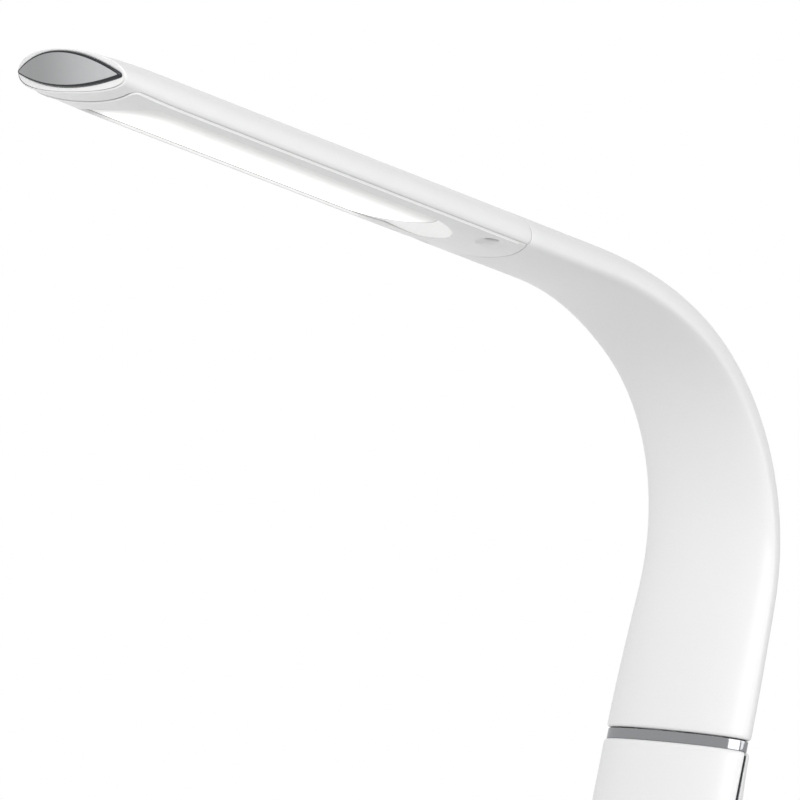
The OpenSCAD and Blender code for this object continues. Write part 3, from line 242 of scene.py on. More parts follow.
def lines(start, end, step, r_start, r_end):
    """Lines from start to end with rounded ends: (place, depth) in each row."""
    count = max(2, int(round((end - start) / step)))
    inner = np.linspace(start + r_start, end - r_end, count + 1)
    plain = np.stack([inner, np.zeros_like(inner)], -1)
    first = edge_lines(start, 1, r_start)[:-1]
    last = edge_lines(end, -1, r_end)[:-1][::-1]
    return np.concatenate([first, plain, last])

def shell(outer, inner):
    """All the grids of a closed shell between two skins."""
    return [outer, inner, np.stack([outer[0], inner[0]]), np.stack([outer[-1], inner[-1]]),
            np.stack([outer[:, 0], inner[:, 0]]), np.stack([outer[:, -1], inner[:, -1]])]

def mm_per_degree(s, t):
    return float(np.linalg.norm(skin(s, t + 0.5) - skin(s, t - 0.5)))

def angle_lines(start, end, step, r, s):
    """Lines round the oval from angle start to end, with both edges rounded by r millimetres."""
    a, b = r / mm_per_degree(s, start), r / mm_per_degree(s, end)
    found = lines(start, end, step, a, b)
    found[:, 1] *= np.where(np.arange(len(found)) < len(found) / 2, r / a, r / b)
    return found
print("one degree round the head is %.2f mm at its side" % mm_per_degree(s_joint, 0))

# %% [markdown]
# ## Finishes
# Moulded plastic isn't one flat colour. It has a faint cloudiness, a very fine waviness from the
# mould and tiny differences in gloss. All patterns are driven by the object's own coordinates.

# %% Patterns for the finishes
materials = {}
def new_material(name):
    mat = bpy.data.materials.new(name)
    mat.use_nodes = True
    materials[name] = mat
    return mat, mat.node_tree, mat.node_tree.nodes["Principled BSDF"]

def noise(tree, scale, detail=3.0, stretch=(1, 1, 1)):
    coords = tree.nodes.new("ShaderNodeTexCoord")
    mapping = tree.nodes.new("ShaderNodeMapping")
    mapping.inputs["Scale"].default_value = stretch
    texture = tree.nodes.new("ShaderNodeTexNoise")
    texture.inputs["Scale"].default_value = scale
    texture.inputs["Detail"].default_value = detail
    tree.links.new(coords.outputs["Object"], mapping.inputs["Vector"])
    tree.links.new(mapping.outputs["Vector"], texture.inputs["Vector"])
    return texture.outputs["Fac"]

def change_range(tree, value, found, wanted, smooth=False):
    """The value, moved from the range it is found in to the wanted one."""
    node = tree.nodes.new("ShaderNodeMapRange")
    if smooth:
        node.interpolation_type = "SMOOTHSTEP"
    node.inputs["From Min"].default_value, node.inputs["From Max"].default_value = found
    node.inputs["To Min"].default_value, node.inputs["To Max"].default_value = wanted
    tree.links.new(value, node.inputs["Value"])
    return node.outputs["Result"]
print("the list of materials is ready")

# %% [markdown]
# A noise mostly stays near its middle, so it is stretched before it blends two values or two
# colours. A dark pattern over a colour is a multiplication. The same noise can also raise and
# lower the surface a little, which the Bump node turns into leaning normals.

# %% Blending, shading and relief
noise_range = (0.3, 0.7)
def blend_value(tree, factor, low, high):
    return change_range(tree, factor, noise_range, (low, high))

def blend_colour(tree, factor, a, b):
    node = tree.nodes.new("ShaderNodeMix")
    node.data_type = "RGBA"
    node.inputs["A"].default_value, node.inputs["B"].default_value = (*a, 1), (*b, 1)
    tree.links.new(factor, node.inputs["Factor"])
    return node.outputs["Result"]

def shaded(tree, colour, shade):
    """The colour multiplied by the shade."""
    node = tree.nodes.new("ShaderNodeMix")
    node.data_type, node.blend_type = "RGBA", "MULTIPLY"
    node.inputs["Factor"].default_value = 1.0
    tree.links.new(colour, node.inputs["A"])
    tree.links.new(shade, node.inputs["B"])
    return node.outputs["Result"]

def bump(tree, shader, height, strength, distance):
    node = tree.nodes.new("ShaderNodeBump")
    node.inputs["Strength"].default_value = strength
    node.inputs["Distance"].default_value = distance
    tree.links.new(height, node.inputs["Height"])
    tree.links.new(node.outputs["Normal"], shader.inputs["Normal"])
print("noise is stretched from", noise_range)

# %% [markdown]
# A plastic casing is nearly even: its noise only shifts the colour by a percent or two and the
# gloss a little more. A clear coat over a softer base gives the sharp but weak highlight of
# moulded plastic. Where two casings meet and in other narrow places, painted shade darkens the
# colour of the skin. An ambient occlusion node finds such places, so no dark line has to be drawn by hand.

# %% Plastics
cloud_scale, mould_scale, mould_relief = 22.0, 900.0, 0.00002
plastic_gloss_spread = (0.92, 1.08)
coat_rough = 0.12
open_to_air, seam_shade = (0.3, 0.85), (0.25, 1.0)
glow_colour = (1.0, 0.995, 0.985, 1)
# painted shade: an ambient occlusion node darkens the colour where other surfaces stand close
def painted_crevice_shade(tree, colour, reach):
    """The colour, darkened by painted shade where other surfaces stand close, as in a seam."""
    closeness = tree.nodes.new("ShaderNodeAmbientOcclusion")
    closeness.samples = 8
    closeness.inputs["Distance"].default_value = reach
    return shaded(tree, colour, change_range(tree, closeness.outputs["AO"], open_to_air, seam_shade))

def plastic(name, colour, rough, coat=0.0, wave=0.02, cloud=0.985, painted_shade_reach=0.0, glow=0.0):
    mat, tree, shader = new_material(name)
    broad = noise(tree, cloud_scale)
    fine = noise(tree, mould_scale, 2.0)
    darker = tuple(c * cloud for c in colour)
    shown = blend_colour(tree, broad, darker, colour)
    # painted shade in the seams and narrow places, when a reach is given
    if painted_shade_reach:
        shown = painted_crevice_shade(tree, shown, painted_shade_reach)
    tree.links.new(shown, shader.inputs["Base Color"])
    # painted glow: an emission that lets a casing give off light of its own
    if glow:
        shader.inputs["Emission Color"].default_value = glow_colour
        shader.inputs["Emission Strength"].default_value = glow
    low, high = [rough * share for share in plastic_gloss_spread]
    tree.links.new(blend_value(tree, broad, low, high), shader.inputs["Roughness"])
    shader.inputs["Coat Weight"].default_value = coat
    shader.inputs["Coat Roughness"].default_value = coat_rough
    bump(tree, shader, fine, wave, mould_relief)
    return mat

# %% [markdown]
# Metal shows how it was worked. Stretching the noise along one axis turns its spots into the fine
# lines that brushing or drawing leaves, and the same lines drive colour, gloss and relief, so
# that they agree.

# %% Metals
metal_gloss_spread = (0.8, 1.25)
worked_relief = 0.00003
def metal(name, colour, rough, grain=(1, 1, 1), grain_scale=300.0, grain_depth=0.05, spread=0.15):
    mat, tree, shader = new_material(name)
    shader.inputs["Metallic"].default_value = 1.0
    worked = noise(tree, grain_scale, 3.0, grain)
    darker = tuple(c * (1 - spread) for c in colour)
    tree.links.new(blend_colour(tree, worked, darker, colour), shader.inputs["Base Color"])
    low, high = [rough * share for share in metal_gloss_spread]
    tree.links.new(blend_value(tree, worked, low, high), shader.inputs["Roughness"])
    bump(tree, shader, worked, grain_depth, worked_relief)
    return mat

# %% [markdown]
# Each finish is mixed once and named for what it is on the lamp. The casings come in three: a
# plain one, one with painted shade in its seams and narrow places, and one with a painted glow,
# for the ramp beside the lens and a painted highlight along the bead.

# %% Finishes of the lamp
casing = plastic("casing_gloss_white", (0.80, 0.80, 0.80), 0.36, coat=0.2)
# painted shade: this casing's colour is darkened in its seams and narrow places
painted_seam_shade_casing = plastic("casing_painted_seam_shade", (0.80, 0.80, 0.80), 0.34, coat=0.35, painted_shade_reach=0.0008)
# painted glow: this casing gives off light of its own, as painted light beside the lens and a painted
# highlight on the bead
painted_glow_casing = plastic("casing_painted_glow", (0.80, 0.80, 0.80), 0.36, coat=0.2, glow=0.22)
button_white = plastic("button_white", (0.80, 0.80, 0.80), 0.28, coat=0.3)
chrome_ring = metal("chrome_ring", (0.27, 0.275, 0.285), 0.09, grain_depth=0.01, spread=0.03)
chrome_trim = metal("chrome_trim", (0.62, 0.63, 0.65), 0.12, grain_depth=0.01, spread=0.03)
dark_chrome = metal("dark_chrome", (0.05, 0.052, 0.057), 0.14, grain_depth=0.01, spread=0.05)
zinc = metal("zinc_steel", (0.55, 0.56, 0.57), 0.38)
cast = metal("cast_aluminium", (0.66, 0.67, 0.68), 0.45, grain_scale=500.0, grain_depth=0.2)
drawn = metal("drawn_aluminium", (0.7, 0.71, 0.72), 0.35, (60, 2, 60), 30.0, 0.15)
satin = metal("satin_surround", (0.34, 0.345, 0.35), 0.3, (60, 1, 60), 60.0, 0.1)
brass = metal("brass", (0.72, 0.55, 0.28), 0.35)
black_oxide = metal("black_oxide", (0.13, 0.13, 0.135), 0.5)
nickel = metal("nickel_shell", (0.6, 0.6, 0.59), 0.25)
rubber = plastic("rubber", (0.03, 0.03, 0.032), 0.75, wave=0.4, cloud=0.8)
cable = plastic("cable_jacket", (0.03, 0.03, 0.032), 0.55, wave=0.2, cloud=0.85)
acetal = plastic("acetal", (0.72, 0.72, 0.69), 0.45)
grey_plastic = plastic("grey_plastic", (0.55, 0.55, 0.545), 0.55, wave=0.5)
black_plastic = plastic("black_plastic", (0.03, 0.03, 0.032), 0.5, wave=0.3)
white_board = plastic("white_solder_mask", (0.75, 0.75, 0.73), 0.4)
green_board = plastic("green_solder_mask", (0.03, 0.16, 0.07), 0.35)
phosphor = plastic("led_phosphor", (0.85, 0.7, 0.22), 0.5)
pipe_clear = plastic("light_pipe", (0.62, 0.75, 0.85), 0.15, coat=0.6)
print("finishes:", len(materials))

# %% [markdown]
# The tip's plate has a fine grain from brushing, and a painted sheen: a painted reflection in its
# colour that runs from dark at one end to bright at the other.

# %% Brushed plate with a painted sheen
painted_sheen_x = (-14.0 * MM, 20.0 * MM)
painted_plate_sheen = (0.68, 1.15)
def brushed_plate_with_painted_sheen():
    mat = metal("brushed_mirror_painted_sheen", (0.5, 0.505, 0.51), 0.36, (60, 1, 1), 14.0, 0.08, 0.05)
    tree = mat.node_tree
    shader = tree.nodes["Principled BSDF"]
    grain = shader.inputs["Base Color"].links[0].from_socket
    coords = tree.nodes.new("ShaderNodeTexCoord")
    split = tree.nodes.new("ShaderNodeSeparateXYZ")
    tree.links.new(coords.outputs["Object"], split.inputs["Vector"])
    # painted reflection: the plate's colour is darker at one end and brighter at the other
    sheen = change_range(tree, split.outputs["X"], painted_sheen_x, painted_plate_sheen, smooth=True)
    tree.links.new(shaded(tree, grain, sheen), shader.inputs["Base Color"])
    return mat
brushed_with_painted_sheen = brushed_plate_with_painted_sheen()
print("plate:", brushed_with_painted_sheen.name, "sheen from", painted_plate_sheen[0], "to", painted_plate_sheen[1])

# %% [markdown]
# The opal lens glows. Its light is strongest along one long side, and falls off softly to the
# other side and towards the nose. The fall is worked out in the lens's own directions, so a
# Mapping node first turns the coordinates by the lean of the lamp.

# %% Opal lens
lens_fade_side = ((lens_w / 2 - 3.0) * MM, -16.0 * MM)
lens_fade_front = (-(lens_l - 4.0) * MM, -(lens_l - 22.0) * MM)
lens_strength = (0.05, 1.1)
def opal_lens():
    mat, tree, shader = new_material("opal_lens")
    coords = tree.nodes.new("ShaderNodeTexCoord")
    turned = tree.nodes.new("ShaderNodeMapping")
    turned.vector_type = "TEXTURE"
    turned.inputs["Location"].default_value = to_row(at_line(0, lens_low, s_joint + lens_back))
    turned.inputs["Rotation"].default_value = (-lean, 0, 0)
    split = tree.nodes.new("ShaderNodeSeparateXYZ")
    tree.links.new(coords.outputs["Object"], turned.inputs["Vector"])
    tree.links.new(turned.outputs["Vector"], split.inputs["Vector"])
    both = tree.nodes.new("ShaderNodeMath")
    both.operation = "MULTIPLY"
    for k, (axis, fade) in enumerate((("X", lens_fade_side), ("Y", lens_fade_front))):
        tree.links.new(change_range(tree, split.outputs[axis], fade, (0, 1), smooth=True), both.inputs[k])
    level = change_range(tree, both.outputs[0], (0, 1), lens_strength)
    shader.inputs["Base Color"].default_value = (0.8, 0.8, 0.79, 1)
    shader.inputs["Roughness"].default_value = 0.4
    shader.inputs["Emission Color"].default_value = glow_colour
    tree.links.new(level, shader.inputs["Emission Strength"])
    return mat
lens_glow = opal_lens()
print("lens:", lens_glow.name, "strength", lens_strength)

# %% [markdown]
# ## Dressing the CAD parts
# Every inner part keeps its CAD mesh and gets the finish of its own metal or plastic.

# %% Finish of each CAD part
slot_finish = {
    "casing": casing, "opal_lens": lens_glow, "dark_chrome": dark_chrome, "mirror_plate": brushed_with_painted_sheen,
    "chrome": chrome_trim, "steel": zinc, "aluminium": cast, "ballast": black_oxide, "brass": brass,
    "rubber": rubber, "lead_jacket": cable, "bearing_plastic": acetal, "grey_plastic": grey_plastic,
    "black_plastic": black_plastic, "white_board": white_board, "green_board": green_board,
    "led_phosphor": phosphor, "inlet_metal": nickel, "surround": satin, "light_pipe": pipe_clear,
    "button": button_white,
}
for part in frame["record"]["subparts"]:
    mesh = nodes[part["node"]].data
    mesh.materials.clear()
    mesh.materials.append(slot_finish[part["material_slot"]])
nodes["heat_spreader"].data.materials[0] = drawn

# %% [markdown]
# A CAD mesh is many flat facets. Shading them all smooth would smear the real edges, so a small
# node tree shades the faces smooth and then marks the edges that are steeper than an angle as
# sharp again. One tree serves every part.

# %% Smooth bends and sharp edges
facet_weld = 1e-6
sharp_from = math.radians(28)
def smooth_by_angle():
    """A node tree that shades gentle bends smooth and keeps real edges sharp."""
    tree = bpy.data.node_groups.new("smooth_by_angle", "GeometryNodeTree")
    tree.interface.new_socket("Geometry", in_out="INPUT", socket_type="NodeSocketGeometry")
    tree.interface.new_socket("Sharp Angle", in_out="INPUT", socket_type="NodeSocketFloat")
    tree.interface.new_socket("Geometry", in_out="OUTPUT", socket_type="NodeSocketGeometry")
    start, end = tree.nodes.new("NodeGroupInput"), tree.nodes.new("NodeGroupOutput")
    weld = tree.nodes.new("GeometryNodeMergeByDistance")
    weld.inputs["Distance"].default_value = facet_weld
    angle = tree.nodes.new("GeometryNodeInputMeshEdgeAngle")
    steep = tree.nodes.new("FunctionNodeCompare")
    steep.data_type, steep.operation = "FLOAT", "GREATER_THAN"
    faces, edges = [tree.nodes.new("GeometryNodeSetShadeSmooth") for k in range(2)]
    edges.domain = "EDGE"
    edges.inputs["Shade Smooth"].default_value = False
    link = tree.links.new
    link(start.outputs["Geometry"], weld.inputs["Geometry"])
    link(weld.outputs["Geometry"], faces.inputs["Geometry"])
    link(faces.outputs["Geometry"], edges.inputs["Geometry"])
    link(angle.outputs["Unsigned Angle"], steep.inputs["A"])
    link(start.outputs["Sharp Angle"], steep.inputs["B"])
    link(steep.outputs["Result"], edges.inputs["Selection"])
    link(edges.outputs["Geometry"], end.inputs["Geometry"])
    return tree

def socket_id(tree, name):
    return next(s.identifier for s in tree.interface.items_tree if s.name == name and s.in_out == "INPUT")

smoothing = smooth_by_angle()
for part in frame["record"]["subparts"]:
    modifier = nodes[part["node"]].modifiers.new("smooth", "NODES")
    modifier.node_group = smoothing
    modifier[socket_id(smoothing, "Sharp Angle")] = sharp_from

# %% [markdown]
# A piece that is built again here rides on the same moving body as the CAD part it stands for,
# and takes over that part's place. One helper does both. It can also add a second finish, for
# the faces that were given one.

# %% Handing a piece in
def finish_piece(obj, body, slot, mat, *stands_for, second=None):
    obj.data.materials.append(mat)
    if second:
        obj.data.materials.append(second)
    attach(obj, body)
    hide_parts(*stands_for)
    print("%s stands for %s on the %s" % (obj.name, ", ".join(stands_for), body))

# %% [markdown]
# ## The arm
# The arm is a broad band in two casings: a front one that wraps round both sides, and a cover on
# the back. The front one ends at the bowed end of the belly cover, so its last rows are eased
# from a straight line into that curve.

# %% Arm casings
seam_r = 0.16                   # rounding along the seams
back_cover_half = 50.0          # degrees to each side of the middle of the back
arm_row_step, arm_turn_step = 1.6, 2.5
eased_rows = 12                 # rows on the straight run up to the head
def belly_back(x):
    """The place along the centre line where the belly cover begins, x to the side of its middle."""
    return s_joint - belly_bow * np.maximum(0, 1 - (x / edge_x) ** 2)

def arm_shell(name, start, end, stands_for, follows_belly):
    turns = angle_lines(start, end, arm_turn_step, seam_r, s_mid)
    t = turns[:, 0]
    x = head_half * signed_power(np.cos(np.radians(t)), 2 / roundness)
    below = np.sin(np.radians(t)) < -math.sin(math.radians(seam_turn))
    stop = np.where(below & follows_belly, belly_back(x), s_joint)
    first = lines(collar_h / 2 + collar_gap, s_high, arm_row_step, end_r, 0.0)[:-edge_steps]
    eased = s_high + (stop - seam_r - s_high) * np.linspace(0, 1, eased_rows + 1)[1:, None]
    phi = quarter_round[1:, None]
    s = np.concatenate([np.repeat(first[:, :1], len(t), 1), eased, stop - seam_r * (1 - np.sin(phi))])
    sunk = np.concatenate([first[:, 1], np.zeros(eased_rows), seam_r * (1 - np.cos(phi[:, 0]))])
    depth = np.maximum(sunk[:, None], turns[:, 1][None, :])
    obj = mesh_object(name, [to_row(g) for g in shell(skin(s, t, depth), skin(s, t, wall))])
    finish_piece(obj, "arm", "casing", casing, stands_for)

gap_angle = seam_gap / mm_per_degree(s_mid, 90 + back_cover_half)
arm_shell("arm_front_casing", back_cover_half + 90 - 360, 90 - back_cover_half, "arm_front_shell", True)
arm_shell("arm_back_casing", 90 - back_cover_half + gap_angle, 90 + back_cover_half - gap_angle,
          "arm_back_cover", False)

# %% [markdown]
# ## The head
# The upper casing is one shell from the joint to the tip. Under the tip it closes round the nose,
# so its last stretch is a full tube. The end face is a piece of a cylinder that leans forward:
# `tip_cut` says how far out it lies. `belly_front` is the front end of the belly cover, which the
# nose has to meet: a shallow bow between two rounded corners.

# %% Tip face and front end of the belly cover
lip_r = 0.45                    # rounding of the rim of the tip
nose_edge_r = 0.3
lip_seam_r = 0.25               # rounding of the upper casing along the belly cover
belly_groove = 0.25             # the seam there is wider at the skin than at the wall
nose_wall_t = 5.0
def tip_cut(x, q):
    bulge = tip_r - np.sqrt(tip_r ** 2 - x * x)
    return s_tip + (q - tip_mid) * math.tan(tip_rake) - bulge / math.cos(tip_rake)

def belly_front(x):
    u = np.maximum(0, np.abs(x) - edge_x + belly_corner)
    rounded = belly_corner - np.sqrt(np.maximum(0, belly_corner ** 2 - u * u))
    return s_tip - nose_side_l - nose_bow * np.maximum(0, 1 - (x / edge_x) ** 2) - rounded

front_half_points = 14
corner_turns = np.radians(np.arange(10, 90, 10))
corner_x = edge_x - belly_corner * (1 - np.cos(corner_turns))
front_x = np.concatenate([[edge_x], corner_x, np.linspace(edge_x - belly_corner, 0, front_half_points)])
front_x = np.concatenate([-front_x, front_x[-2::-1]])
print("belly cover ends %.1f mm before the tip in its middle" % float(s_tip - belly_front(0.0)))

# %% [markdown]
# The window in the tip is an almond: two wide arcs that meet in two small rounded corners. The
# same rule draws the window, the frame and the plate, each grown or shrunk by a little.

# %% Almond of the tip
bezel_w, bezel_h, plate_t, tip_proud = 0.55, 1.2, 0.8, 1.0
window_r = 0.1
def almond(share, upper, grow=0.0):
    """A point of the almond at a share of its half width, -1 to 1, on its upper or lower edge."""
    r_up = (tip_half_w ** 2 + tip_rise ** 2) / (2 * tip_rise)
    r_down = (tip_half_w ** 2 + tip_drop ** 2) / (2 * tip_drop)
    low, high = tip_rise - r_up, r_down - tip_drop
    a, b = r_up - tip_corner, r_down - tip_corner
    end_q = (a * a - b * b - low ** 2 + high ** 2) / (2 * (high - low))
    end_x = math.sqrt(a * a - (end_q - low) ** 2)
    x = share * (end_x + tip_corner + grow)
    corner = np.sqrt(np.maximum(0, (tip_corner + grow) ** 2 - (np.abs(x) - end_x) ** 2))
    arc_up = low + np.sqrt((r_up + grow) ** 2 - x * x)
    arc_down = high - np.sqrt((r_down + grow) ** 2 - x * x)
    up = np.where(np.abs(x) > end_x * (r_up + grow) / a, end_q + corner, arc_up)
    down = np.where(np.abs(x) > end_x * (r_down + grow) / b, end_q - corner, arc_down)
    return x, tip_mid + np.where(upper, up, down)
print("almond %.1f mm wide" % (2 * float(almond(1.0, True)[0])))

# %% [markdown]
# All grids of the upper casing share one set of angles, so that their edges can meet point on
# point. Above the belly seam the angles are evenly spaced, apart from the close ones that round
# the long edges. Below it they follow the points of the belly cover's front end.

# %% Angles round the head
head_row_step, head_turn_step = 4.0, 3.0
s_measured = s_joint + 50       # millimetres are turned to degrees at this place
groove = belly_groove / mm_per_degree(s_measured, -seam_turn)
upper = angle_lines(groove - seam_turn, 180 + seam_turn - groove, head_turn_step, lip_seam_r, s_measured)
quarter = np.degrees(np.arccos((np.abs(front_x[1:-1]) / head_half) ** (roundness / 2)))
lower_t = np.where(front_x[1:-1] > 0, 360 - quarter, 180 + quarter)
head_t = np.concatenate([upper[:, 0], lower_t, upper[:1, 0] + 360])
is_low = np.concatenate([np.zeros(len(upper), bool), np.ones(len(lower_t), bool), [False]])
head_x = head_half * signed_power(np.cos(np.radians(head_t)), 2 / roundness)
side_s = s_tip - nose_side_l - belly_corner + seam_gap
front = np.where(is_low, belly_front(head_x) + seam_gap, side_s)
print("angles: %d above the seam, %d below" % (len(upper), len(lower_t)))

# %% [markdown]
# From the joint to the nose the casing is an open shell, a long roof over the belly cover. Its
# rounded long edges fade out just before the nose, where the seam turns the corner.

# %% Open shell of the head
edge_fade_l = 1.5
def open_shell():
    rows = lines(s_joint + seam_gap, side_s, head_row_step, seam_r, 0.0)[:-edge_steps]
    fade = np.clip((side_s - rows[:, 0]) / edge_fade_l, 0, 1)[:, None]
    depth = np.maximum(rows[:, 1:], upper[:, 1][None, :] * fade)
    s = rows[:, :1] + 0 * depth
    outer, inner = skin(s, upper[:, 0], depth), skin(s, upper[:, 0], wall)
    return [outer, inner, np.stack([outer[0], inner[0]]),
            np.stack([outer[:, 0], inner[:, 0]]), np.stack([outer[:, -1], inner[:, -1]])]

roof_grids = open_shell()
print("roof: %d rows of %d points" % roof_grids[0].shape[:2])

# %% [markdown]
# The nose is a full tube. It starts with a rounded edge along the belly cover, runs straight to
# the tip and turns over the rounded rim there. Where the end face leans back, the last ring
# follows the oval at its own place, while the face starts from the oval at the very tip. That
# leaves a slit of up to 0.27 mm between them. Taking the oval at the tip for both would close it.

# %% Skin of the nose
edge_fade_turn = 4.0            # degrees from the seam within which the nose's edge is sharper
nose_rows = 14
def nose_skin():
    near_seam = np.where(is_low, np.minimum(head_t - (180 + seam_turn), 360 - seam_turn - head_t), 0.0)
    edge = nose_edge_r * np.clip(near_seam / edge_fade_turn, 0, 1)
    phi = quarter_round[:, None]
    cut = tip_cut(*oval(s_tip, head_t))
    u = np.linspace(0, 1, nose_rows + 1)[1:, None]
    lip_d = lip_r * (1 - np.cos(phi[1:]))
    lip_x, lip_q = oval(s_tip, head_t, lip_d)
    s = [front + edge * (1 - np.cos(phi)), (front + edge) + (cut - lip_r - front - edge) * u,
         tip_cut(lip_x, lip_q) - lip_r * (1 - np.sin(phi[1:]))]
    depth = [edge * (1 - np.sin(phi)), 0 * u + 0 * head_t, lip_d + 0 * head_t]
    return skin(np.concatenate(s), head_t, np.concatenate(depth))

nose = nose_skin()
print("nose: %d rows of %d points" % nose.shape[:2])

# %% [markdown]
# The end face runs from the rim in to the almond window. Behind the window lies a shallow pocket
# for the frame and the plate. Its floor is drawn together to one point, which closes it.

# %% Face of the tip and pocket behind it
pocket_deep = bezel_h + 0.1
face_rows, window_rows = 5, 3
def tip_face():
    share = signed_power(np.cos(np.radians(head_t)), 2 / roundness)
    above = np.sin(np.radians(head_t)) >= 0
    x0, q0 = oval(s_tip, head_t, lip_r)
    x1, q1 = almond(share, above, window_r)
    k = np.linspace(0, 1, face_rows + 1)[:, None]
    fx, fq = x0 + (x1 - x0) * k, q0 + (q1 - q0) * k
    face = at_line(fx, fq, tip_cut(fx, fq))
    pocket = [face[-1]]
    for angle in np.linspace(0, math.pi / 2, window_rows + 1)[1:]:
        px, pq = almond(share, above, window_r * (1 - math.sin(angle)))
        pocket.append(at_line(px, pq, tip_cut(px, pq) - window_r * (1 - math.cos(angle))))
    for shrink in (1.0, 0.5, 0.0):
        bx, bq = px * shrink, tip_mid + (pq - tip_mid) * shrink
        pocket.append(at_line(bx, bq, tip_cut(bx, bq) - pocket_deep))
    return [face, np.stack(pocket)]

face_grids = tip_face()
print("pocket %.1f mm deep" % pocket_deep)

# %% [markdown]
# The inside of the nose is a plain cup that ends in a thick wall behind the tip. One last strip
# joins it to the nose's edge along the belly cover. Apart from the slit at the rim, the casing is
# then closed.

# %% Upper casing of the head
def nose_cup():
    back = tip_cut(*oval(s_tip, head_t, wall)) - nose_wall_t
    rings = [skin(front + (back - front) * v, head_t, wall) for v in (0.0, 0.5, 1.0)]
    middle = rings[-1].mean(0)
    rings += [middle + (rings[-1] - middle) * v for v in (0.5, 0.0)]
    return np.stack(rings)

def head_casing():
    cup = nose_cup()
    low_part = np.nonzero(is_low)[0]
    span = slice(low_part[0] - 1, low_part[-1] + 2)
    grids = [*roof_grids, nose, *face_grids, cup, np.stack([nose[0, span], cup[0][span]])]
    obj = mesh_object("head_upper_casing", [to_row(g) for g in grids])
    finish_piece(obj, "arm", "casing", painted_seam_shade_casing, "head_upper_shell")
head_casing()

# %% [markdown]
# ## The belly cover
# The belly cover has a curved outline, a long opening and two screw wells, which no plain grid
# follows. So its skin is a triangulated plan: the outline and the holes are drawn as loops in the
# plan, filled by a constrained triangulation, and lifted on to the oval of the head.

# %% Filling a plan between loops
clear_of_loops = 0.55           # inner points keep this share of a step away from the loops
plan_weld = 1e-5                # millimetres
def inside(points, loops):
    """Which points lie inside an odd number of the loops."""
    crossed = np.zeros(len(points), bool)
    for loop in loops:
        a, b = loop, np.roll(loop, -1, 0)
        for (x0, y0), (x1, y1) in zip(a, b):
            if y0 == y1:
                continue
            hit = (y0 > points[:, 1]) != (y1 > points[:, 1])
            crossed ^= hit & (points[:, 0] < (x1 - x0) * (points[:, 1] - y0) / (y1 - y0) + x0)
    return crossed

def inner_points_of(loops, step):
    """An even grid of points between the loops, clear of the loops themselves."""
    low, high = loops[0].min(0), loops[0].max(0)
    gx, gy = np.meshgrid(*[np.arange(low[k] + step / 2, high[k], step) for k in range(2)])
    grid = np.stack([gx.ravel(), gy.ravel()], -1)
    grid = grid[inside(grid, loops)]
    near = nearest(grid, np.concatenate(loops))
    return list(grid[near > (clear_of_loops * step) ** 2])

def nearest(points, others):
    """For each point, the square of the distance to the nearest of the others."""
    return np.array([np.min(np.sum((others - p) ** 2, 1)) for p in points])

def fill(loops, step):
    """Triangles between closed loops in a plan, with inner points about step apart."""
    points = [p for loop in loops for p in loop]
    edges, start = [], 0
    for loop in loops:
        n = len(loop)
        edges += [(start + k, start + (k + 1) % n) for k in range(n)]
        start += n
    if step:
        points += inner_points_of(loops, step)
    found = delaunay_2d_cdt([Vector(p) for p in points], edges, [], 0, plan_weld)
    plan = np.array([list(v) for v in found[0]])
    faces = np.array([f for f in found[2] if len(f) == 3])
    print("plan filled with", len(faces), "triangles")
    return plan, faces[inside(plan[faces].mean(1), loops)]

# %% [markdown]
# Three outlines are needed: the border of the cover, the opening for the lens with its long
# rounded rear end, and round holes for the screws. `moved_in` shifts an outline sideways by an
# even distance, which gives the rounded rims.

# %% Outlines of the belly cover
opening_corner = 5.0
rear_points, side_points, corner_points = 65, 40, 10      # of the opening
back_points, long_points, circle_points = 31, 100, 40     # of the border, and of a round hole
def moved_in(loop, d):
    """The loop with each point moved by d to its left side."""
    ahead = np.roll(loop, -1, 0) - loop
    behind = loop - np.roll(loop, 1, 0)
    ahead /= np.linalg.norm(ahead, axis=1)[:, None]
    behind /= np.linalg.norm(behind, axis=1)[:, None]
    way = ahead + behind
    way /= np.linalg.norm(way, axis=1)[:, None]
    normal = np.stack([-way[:, 1], way[:, 0]], -1)
    left = np.stack([-ahead[:, 1], ahead[:, 0]], -1)
    return loop + normal * d / np.sum(normal * left, 1)[:, None]

def lens_loop(grow=0.0, taper=lens_taper_l):
    half = lens_w / 2 + grow
    back_end = s_joint + lens_back + lens_taper_l
    front_end = s_joint + lens_back + lens_l + grow
    corner = opening_corner + grow
    a = np.radians(np.linspace(-90, 90, rear_points))
    rear = np.stack([half * np.sin(a), back_end - (taper + grow) * np.cos(a)], -1)
    side = np.linspace(back_end, front_end - corner, side_points)[1:-1]
    b = np.radians(np.linspace(0, 90, corner_points))
    right = np.stack([half - corner + corner * np.cos(b), front_end - corner + corner * np.sin(b)], -1)
    left = right[::-1] * [-1, 1]
    sides = [np.stack([0 * side + half, side], -1), np.stack([0 * side - half, side[::-1]], -1)]
    return np.concatenate([rear, sides[0], right, left, sides[1]])

def cover_border():
    x = np.linspace(-edge_x, edge_x, back_points)
    back = np.stack([x, belly_back(x) + seam_gap], -1)
    front = np.stack([front_x[::-1], belly_front(front_x[::-1])], -1)
    side = np.linspace(s_joint + seam_gap, s_tip - nose_side_l - belly_corner, long_points)[1:-1]
    right = np.stack([0 * side + edge_x, side], -1)
    left = np.stack([0 * side - edge_x, side[::-1]], -1)
    return np.concatenate([back, right, front, left])

def circle(x, s, r):
    a = np.linspace(0, 2 * math.pi, circle_points, endpoint=False)
    return np.stack([x + r * np.cos(a), s + r * np.sin(a)], -1)

def closed(ring):
    return np.concatenate([ring, ring[:1]])

border = cover_border()
print("border of %d points, opening of %d" % (len(border), len(lens_loop())))

